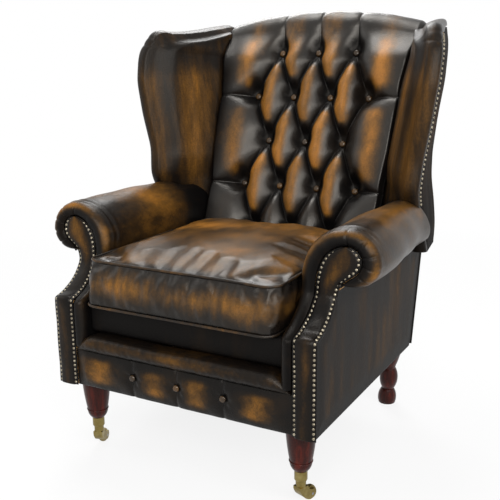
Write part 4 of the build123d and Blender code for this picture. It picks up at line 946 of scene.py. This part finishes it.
def make_border():
    half = 284.6
    x = np.linspace(-half, half, 300)[None, :]
    up = np.linspace(0, 1, 60)[:, None]
    height = 186.0 + 90.0 * up
    bulge = 9.5 * np.sin(math.pi * up) ** 0.7 * smooth(0, 0.12, 1 - np.abs(x) / half)
    over = height - BORDER_BUTTON_HEIGHT
    pinch = np.zeros_like(bulge)
    for spot in BORDER_BUTTONS:
        away, spin = np.hypot(x - spot, over), np.arctan2(over, x - spot)
        pinch += 8.0 * np.exp(-((away / 15.0) ** 2))
        pinch += 0.7 * np.exp(-(((away - 15) / 10) ** 2)) * np.cos(spin * 7)
        pinch += 3.4 * np.exp(-np.abs(x - spot) / 4.0) * smooth(4.0, 16.0, np.abs(over))
    rubbed = ((-212.0, 54.0), (-60.0, 36.0), (56.0, 34.0), (196.0, 48.0))
    patches = sum(bump(x, spot, wide) for spot, wide in rubbed)
    wear_and_shade = 0.8 * smooth(0.0, 0.28, up) * (1 - smooth(0.72, 0.96, up)) * patches
    wear_and_shade = wear_and_shade * (0.9 + 0.12 * waves(x, height, 0.0, 80.0, SEED + 61))
    depth = 3.5 - bulge + pinch + waves(x, height, 0.0, 45.0, SEED + 62) * 0.5
    grid, wear_and_shade = grid_points(x, depth, height), np.clip(wear_and_shade, 0, 1)
    piece = skin("front_border_leather", grid, wear_and_shade, (0, 60, 230), HIDE_FRONT, thick=4.0)
    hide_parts("front_border")


def make_roll():
    half, foot, crown = 281.0, 275.0, 316.0
    x = np.linspace(-half, half, 260)[None, :]
    share = np.abs(x) / half
    swell = np.clip(1 - ((share - 0.80) / 0.20).clip(0, 1) ** 2.2, 0.08, 1)
    turn = np.linspace(-0.35 * math.pi, 0.5 * math.pi, 44)[:, None]
    radius_z, radius_y = (crown - foot) * swell / 2, 8.0 + 13.0 * swell
    sag = waves(x, 0.0, 0.0, 150.0, SEED + 71)
    depth = 8.0 - radius_y * np.cos(turn)
    height = foot + radius_z + radius_z * np.sin(turn) + sag * np.clip(np.sin(turn), 0, 1)
    rear = np.linspace(0, 1, 14)[1:, None]
    depth = np.concatenate([depth, 8.0 + 32.0 * rear + 0 * x])
    height = np.concatenate([height, height[-1:] - 2.0 * rear])
    fine = waves(x * 2.0, depth, height, 26.0, SEED + 72) * 0.5
    fine += 1.2 * bump(share, 0.97, 0.02) * waves(x, depth * 2, height * 2, 12.0, SEED + 73)
    cloud = 0.5 + 0.5 * waves(x, 0.0, 0.0, 260.0, SEED + 74)
    wear_and_shade = np.clip(0.36 * bump(height, 300.0, 14.0) * cloud + 0.12, 0, 1)
    grid = grid_points(x, depth - fine, height)
    piece = skin("front_roll_leather", grid, wear_and_shade, (0, 40, 292), HIDE_FRONT)
    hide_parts("front_roll")


def make_deck():
    x = np.linspace(-254.0, 254.0, 140)[None, :]
    path = soften(even([(40, 317), (26, 318), (25, 384), (32, 389), (590, 389.5)], 150), 3)
    depth, height = path[:, :1], path[:, 1:]
    away = depth + waves(x, depth, height, 90.0, SEED + 81) * 0.7
    rise = height - 0.4 * np.abs(waves(x, depth, 0.0, 120.0, SEED + 82))
    # Near black all over: the deck's dark leather, darkened further as painted shade under the cushion
    piece = skin("seat_deck_cover", grid_points(x, away, rise), 0.02, (0, 300, 330), HIDE_SIDE)
    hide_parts("seat_deck")


# Seat cushion with piping

CUSHION_HALF, CUSHION_MIDDLE = 241.0, 255.0
TOP_SEAM, LOW_SEAM = 496.0, 394.3


def cushion_ring(level, count_x, count_y):
    """Plan of the cushion at a level from 0, bottom seam, to 1, top seam: rows of (x, depth)."""
    half, corner = CUSHION_HALF, 28.0
    front = -8.0 + 21.0 * level
    back = 488.0 + 36.0 * level
    middle, long = (front + back) / 2, (back - front) / 2
    a = np.linspace(-half, half, count_x)[None, :] + np.zeros((count_y, 1))
    b = np.linspace(-long, long, count_y)[:, None] + np.zeros((1, count_x))
    over_x, over_y = np.abs(a) - (half - corner), np.abs(b) - (long - corner)
    both = (over_x > 0) & (over_y > 0)
    far = np.maximum(over_x, over_y)
    spin = np.arctan2(over_y, over_x)
    a = np.where(both, np.sign(a) * (half - corner + far * np.cos(spin)), a)
    b = np.where(both, np.sign(b) * (long - corner + far * np.sin(spin)), b)
    return a, b + middle


def cushion_cover():
    """Closed cover of the cushion before it is filled: points, faces and the rims of its two seams."""
    count_x, count_y, levels = 71, 75, 17
    xt, yt = cushion_ring(1.0, count_x, count_y)
    xb, yb = cushion_ring(0.0, count_x, count_y)
    share_y = 1 - ((yt - yt.mean()) / (yt.max() - yt.mean())) ** 2
    inside = np.clip((1 - (xt / CUSHION_HALF) ** 2) * share_y, 0, 1)
    top = grid_points(xt, yt, TOP_SEAM + 23.0 * inside**0.55)
    bottom = grid_points(xb, yb, LOW_SEAM - 3.5 * smooth(0, 0.2, inside))
    index_top = np.arange(count_x * count_y).reshape(count_y, count_x)
    index_low = index_top + index_top.size
    faces = quads_of(index_top, flip=True).tolist() + quads_of(index_low).tolist()
    rim_top, rim_low = rim_of(index_top), rim_of(index_low)
    ring_top, ring_low = rim_of(top), rim_of(bottom)
    ring_low[:, 2] = LOW_SEAM
    vertices, rings = [top.reshape(-1, 3), bottom.reshape(-1, 3)], [rim_low]
    for step in range(1, levels):
        share = step / levels
        plan = ring_low * (1 - share) + ring_top * share
        away = (plan - [0, CUSHION_MIDDLE, 0]) * [1, 1, 0]
        away /= np.linalg.norm(away, axis=1, keepdims=True)
        vertices.append(plan + away * [0.35, 1, 1] * 9.0 * math.sin(math.pi * share) ** 0.8)
        rings.append(2 * index_top.size + (step - 1) * len(rim_top) + np.arange(len(rim_top)))
    rings.append(rim_top)
    for lower, upper in zip(rings[:-1], rings[1:]):
        faces += np.stack([lower, np.roll(lower, -1), np.roll(upper, -1), upper], -1).tolist()
    return np.concatenate(vertices), faces, rim_top, rim_low


def make_cushion():
    vertices, faces, rim_top, rim_low = cushion_cover()
    mesh = bpy.data.meshes.new("cushion_cloth")
    mesh.from_pydata(in_metres(vertices), [], faces)
    settle(mesh, np.concatenate([rim_top, rim_low]), pressure=3.2, cap=0.014)
    places = np.zeros(len(mesh.vertices) * 3)
    mesh.vertices.foreach_get("co", places)
    points = places.reshape(-1, 3) * 1000 + np.array([0, MIDDLE, 0])
    x, depth, height = points.T
    # Soft gathers under the front seam, with dents and drag lines on the crown
    seam = np.minimum(np.abs(height - TOP_SEAM), np.abs(height - LOW_SEAM))
    on_side = smooth(3.0, 12.0, seam) * (height < TOP_SEAM - 2) * (height > LOW_SEAM + 2)
    gathers = waves(x * 3.0, depth * 0.2, height * 0.4, 40.0, SEED + 91) * 1.3 * on_side
    points[:, 1] -= np.where(depth < 60, gathers, 0)
    crown = height > TOP_SEAM
    drag = waves(x + depth * 0.35, depth * 0.15, 0.0, 26.0, SEED + 92) * 0.8 * bump(depth, 70.0, 60.0)
    dents = waves(x, depth, 0.0, 170.0, SEED + 93) * 2.2
    points[:, 2] += np.where(crown, (drag + dents) * smooth(0, 8, height - TOP_SEAM), 0)
    # The right front corner sags a little
    corner = bump(x, 237.0, 70.0) * bump(depth, 0.0, 60.0)
    points[:, 2] -= 3.0 * corner * smooth(LOW_SEAM + 10, TOP_SEAM, height)
    # Rubbed amber on the crown and along the middle of the sides
    crown_amber = 0.50 + 0.10 * bump(depth, 90.0, 60.0) + 0.22 * bump(depth, 380.0, 110.0)
    crown_amber += 0.14 * waves(x * 0.8, depth * 1.4, 0.0, 150.0, SEED + 94)
    side_amber = 0.62 * bump(height, 447.0, 35.0)
    side_amber += 0.10 * waves(x * 3.0, depth, height * 0.4, 60.0, SEED + 96)
    wear_and_shade = np.where(crown, crown_amber, side_amber)
    wear_and_shade = np.clip(wear_and_shade * smooth(0.0, 14.0, seam + 4.0), 0, 1)
    piece = finish_piece("seat_cushion_leather", points, faces, wear_and_shade, HIDE_SEAT, "cushion")
    finer(piece, 1)
    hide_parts("seat_cushion")
    make_piping("top", points[rim_top])
    make_piping("bottom", points[rim_low])


def settle(mesh, pinned, pressure, cap):
    """Blows the cover up over its filling as cloth held at its seams, then limits how far it moved."""
    cloth_object = bpy.data.objects.new("settling_cloth", mesh)
    bpy.context.scene.collection.objects.link(cloth_object)
    group = cloth_object.vertex_groups.new(name="seam")
    group.add([int(k) for k in pinned], 1.0, "REPLACE")
    rest = np.zeros(len(mesh.vertices) * 3)
    mesh.vertices.foreach_get("co", rest)
    modifier = cloth_object.modifiers.new("cloth", "CLOTH")
    settings = modifier.settings
    settings.quality = 6
    settings.mass = 0.4
    settings.tension_stiffness = settings.compression_stiffness = 30
    settings.shear_stiffness = 20
    settings.bending_stiffness = 4.0
    settings.use_pressure = True
    settings.uniform_pressure_force = pressure
    settings.vertex_group_mass = "seam"
    settings.effector_weights.gravity = 0
    settings.shrink_min = -0.025
    modifier.point_cache.frame_start, modifier.point_cache.frame_end = 1, 20
    for step in range(1, 21):
        bpy.context.scene.frame_set(step)
    found = cloth_object.evaluated_get(bpy.context.evaluated_depsgraph_get()).to_mesh()
    moved = np.zeros(len(found.vertices) * 3)
    found.vertices.foreach_get("co", moved)
    cloth_object.to_mesh_clear()
    shift = (moved - rest).reshape(-1, 3)
    size = np.linalg.norm(shift, axis=1, keepdims=True)
    shift *= np.minimum(1, cap / np.maximum(size, 1e-9))
    bpy.data.objects.remove(cloth_object)
    mesh.vertices.foreach_set("co", rest + shift.ravel())
    bpy.context.scene.frame_set(1)


def finer(piece, levels):
    modifier = piece.modifiers.new("finer", "SUBSURF")
    modifier.levels = modifier.render_levels = levels


def make_piping(end, line):
    """Piping sewn over a seam, as a closed leather tube."""
    line = soften(np.concatenate([line, line[:1]]), 2)[:-1]
    dense = even(np.concatenate([line, line[:1]]), 560)[:-1]
    side = np.cross(np.roll(dense, -1, 0) - np.roll(dense, 1, 0), [0, 0, 1.0])
    side /= np.linalg.norm(side, axis=1, keepdims=True)
    side *= np.sign(np.sum(side[:, :2] * (dense[:, :2] - [0, CUSHION_MIDDLE])))
    run = np.arange(len(dense))
    spin = np.linspace(0, 2 * math.pi, 12, endpoint=False)[None, :, None]
    radius = (3.1 + 0.15 * waves(run * 6.0, 0.0, 0.0, 60.0, SEED + 95))[:, None, None]
    middle, side = (dense + side * 2.2)[:, None, :], side[:, None, :]
    grid = middle + side * np.cos(spin) * radius + np.array([0, 0, 1.0]) * np.sin(spin) * radius
    index = np.arange(len(dense) * 12).reshape(len(dense), 12)
    onward, beside = np.roll(index, -1, 0), np.roll(index, -1, 1)
    faces = np.stack([index, onward, np.roll(onward, -1, 1), beside], -1).reshape(-1, 4)
    along, around = np.roll(grid, -1, 0) - grid, np.roll(grid, -1, 1) - grid
    if np.sum(np.cross(along, around) * (grid - middle)) < 0:
        faces = faces[:, ::-1]
    wear_and_shade = np.broadcast_to(0.42 + 0.12 * np.cos(spin[0, :, 0]), index.shape)
    name, points = "cushion_piping_leather_" + end, grid.reshape(-1, 3)
    piece = finish_piece(name, points, faces.tolist(), wear_and_shade, HIDE_PIPING, "cushion")
    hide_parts("cushion_piping_" + end)


# Underside


def make_underside():
    half, front, rear = 322.0, 20.0, 617.0
    x = np.linspace(-half, half, 90)[None, :]
    depth = np.linspace(front, rear, 90)[:, None]
    inside = smooth(0, 0.12, 1 - np.abs(x) / half)
    inside = inside * smooth(0, 60, depth - front) * smooth(0, 60, rear - depth)
    grid = grid_points(x, depth, 184.6 - inside)
    piece = skin("dust_cover_cloth", grid, 0.2, (0, 300, 400), BLACK_CLOTH, thick=0.8)
    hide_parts("dust_cover")


def make_straps():
    along = np.linspace(-318.0, 318.0, 60)[None, :]
    over = np.linspace(-26.0, 26.0, 9)[:, None]
    index = np.arange(along.size * over.size).reshape(over.size, along.size)
    quads, rim = quads_of(index, flip=True), rim_of(index)
    strap = np.concatenate([quads, quads[:, ::-1] + index.size, walls_between(rim, rim + index.size)])
    vertices, faces = [], []
    for middle in np.linspace(96.0, 529.0, 7):
        faces += (strap + len(vertices)).tolist()
        for height in (277.2, 275.3):
            vertices += grid_points(along, middle + over, height).reshape(-1, 3).tolist()
    straps = finish_piece("seat_straps", vertices, faces, 0.4, JUTE, "chair_body")
    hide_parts("seat_webbing")


def dress(names, material):
    for name in names:
        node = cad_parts[name]
        node.data.materials.clear()
        node.data.materials.append(material)


def both(name):
    return [name + "_left", name + "_right"]


make_back()
make_buttons()
for side, tag in ((1, "right"), (-1, "left")):
    make_arm(side, tag)
    make_facing(side, tag)
    make_wing(side, tag)
    make_outside_wing(side, tag)
    make_outside_arm(side, tag)
make_outside_back()
make_border()
make_roll()
make_deck()
make_cushion()
make_underside()
make_straps()

dress(both("front_leg") + both("rear_leg"), MAHOGANY)
dress(both("castor_cup") + both("castor_horn") + both("castor_wheel"), BRASS)
dress(both("castor_spindle") + both("castor_axle"), STEEL)
wood = ["front_rail", "back_rail", "tacking_rail", "crest_rail", "corner_blocks"]
for pair in ("front_post", "arm_stump", "side_rail", "rear_post", "arm_rail", "wing_board"):
    wood += both(pair)
dress(wood, BEECH)


# Floor, light and camera


def make_stage():
    mesh = bpy.data.meshes.new("studio_floor")
    far = 9.0
    corners = [(-far, -far, 0.0), (far, -far, 0.0), (far, far, 0.0), (-far, far, 0.0)]
    mesh.from_pydata(corners, [], [(0, 1, 2, 3)])
    floor = bpy.data.objects.new("studio_floor", mesh)
    bpy.context.scene.collection.objects.link(floor)
    material = bpy.data.materials.new("pale_floor")
    material.use_nodes = True
    material.node_tree.nodes.clear()
    bench = Bench(material.node_tree)
    matt = bench.add("ShaderNodeBsdfDiffuse", {"Color": (0.9, 0.9, 0.9, 1)})
    glow = bench.add("ShaderNodeEmission", {"Color": (1, 1, 1, 1), "Strength": 1.0})
    seen = seen_rays(bench)
    place = bench.add("ShaderNodeTexCoord").outputs["Object"]
    away = bench.add("ShaderNodeVectorMath", {0: place}, operation="LENGTH")
    plain = bench.range(away.outputs["Value"], 0.7, 2.6, 0.84, 1.0)
    share = bench.sum("MULTIPLY", seen, plain)
    blend = bench.add("ShaderNodeMixShader", {0: share, 1: matt.outputs[0], 2: glow.outputs[0]})
    bench.add("ShaderNodeOutputMaterial", {"Surface": blend.outputs[0]})
    mesh.materials.append(material)


def seen_rays(bench):
    path = bench.add("ShaderNodeLightPath").outputs
    seen = bench.sum("ADD", path["Is Camera Ray"], path["Is Glossy Ray"], clamp=True)
    return bench.sum("ADD", seen, path["Is Transmission Ray"], clamp=True)


def make_world():
    world = bpy.data.worlds.new("studio")
    bpy.context.scene.world = world
    world.use_nodes = True
    world.node_tree.nodes.clear()
    bench = Bench(world.node_tree)
    strength = bench.range(seen_rays(bench), 0.0, 1.0, 0.24, 1.0)
    light = bench.add("ShaderNodeBackground", {"Color": (1, 1, 1, 1), "Strength": strength})
    bench.add("ShaderNodeOutputWorld", {"Surface": light.outputs[0]})


def soft_box(name, place, aim, size, watts):
    data = bpy.data.lights.new(name, "AREA")
    data.shape, data.size, data.size_y, data.energy = "RECTANGLE", size[0], size[1], watts
    lamp = bpy.data.objects.new(name, data)
    lamp.location = place
    lamp.rotation_euler = (Vector(place) - Vector(aim)).to_track_quat("Z", "Y").to_euler()
    bpy.context.scene.collection.objects.link(lamp)


def make_camera():
    azimuth, elevation, roll = (math.radians(a) for a in (29.11, 13.93, -0.61))
    level = math.cos(elevation)
    back = Vector((math.sin(azimuth) * level, -math.cos(azimuth) * level, math.sin(elevation)))
    right = Vector((math.cos(azimuth), math.sin(azimuth), 0))
    up = right.cross(-back)
    right, up = right * math.cos(roll) + up * math.sin(roll), up * math.cos(roll) - right * math.sin(roll)
    data = bpy.data.cameras.new("photo_view")
    data.sensor_width, data.lens = 36.0, 56.66
    camera = bpy.data.objects.new("photo_view", data)
    turn = Matrix((right, up, back)).transposed().to_4x4()
    camera.matrix_world = Matrix.Translation((0.93106, -1.73934, 0.94769)) @ turn
    bpy.context.scene.collection.objects.link(camera)
    bpy.context.scene.camera = camera


make_stage()
make_world()
soft_box("key_box", (2.6, -1.2, 1.8), (0.0, 0.0, 0.65), (1.7, 1.6), 44.0)
soft_box("front_box", (1.25, -2.85, 2.1), (0.0, 0.0, 0.65), (2.3, 1.5), 82.0)
soft_box("side_box", (-2.6, -1.3, 2.4), (0.0, 0.0, 0.6), (1.2, 1.2), 8.0)
soft_box("top_box", (-0.6, 0.4, 2.85), (0.0, 0.0, 0.5), (1.1, 0.8), 30.0)
soft_box("rear_box", (-1.3, 2.0, 2.7), (0.0, 0.0, 0.6), (1.5, 0.9), 46.0)
make_camera()
bpy.context.scene.view_settings.view_transform = "Standard"
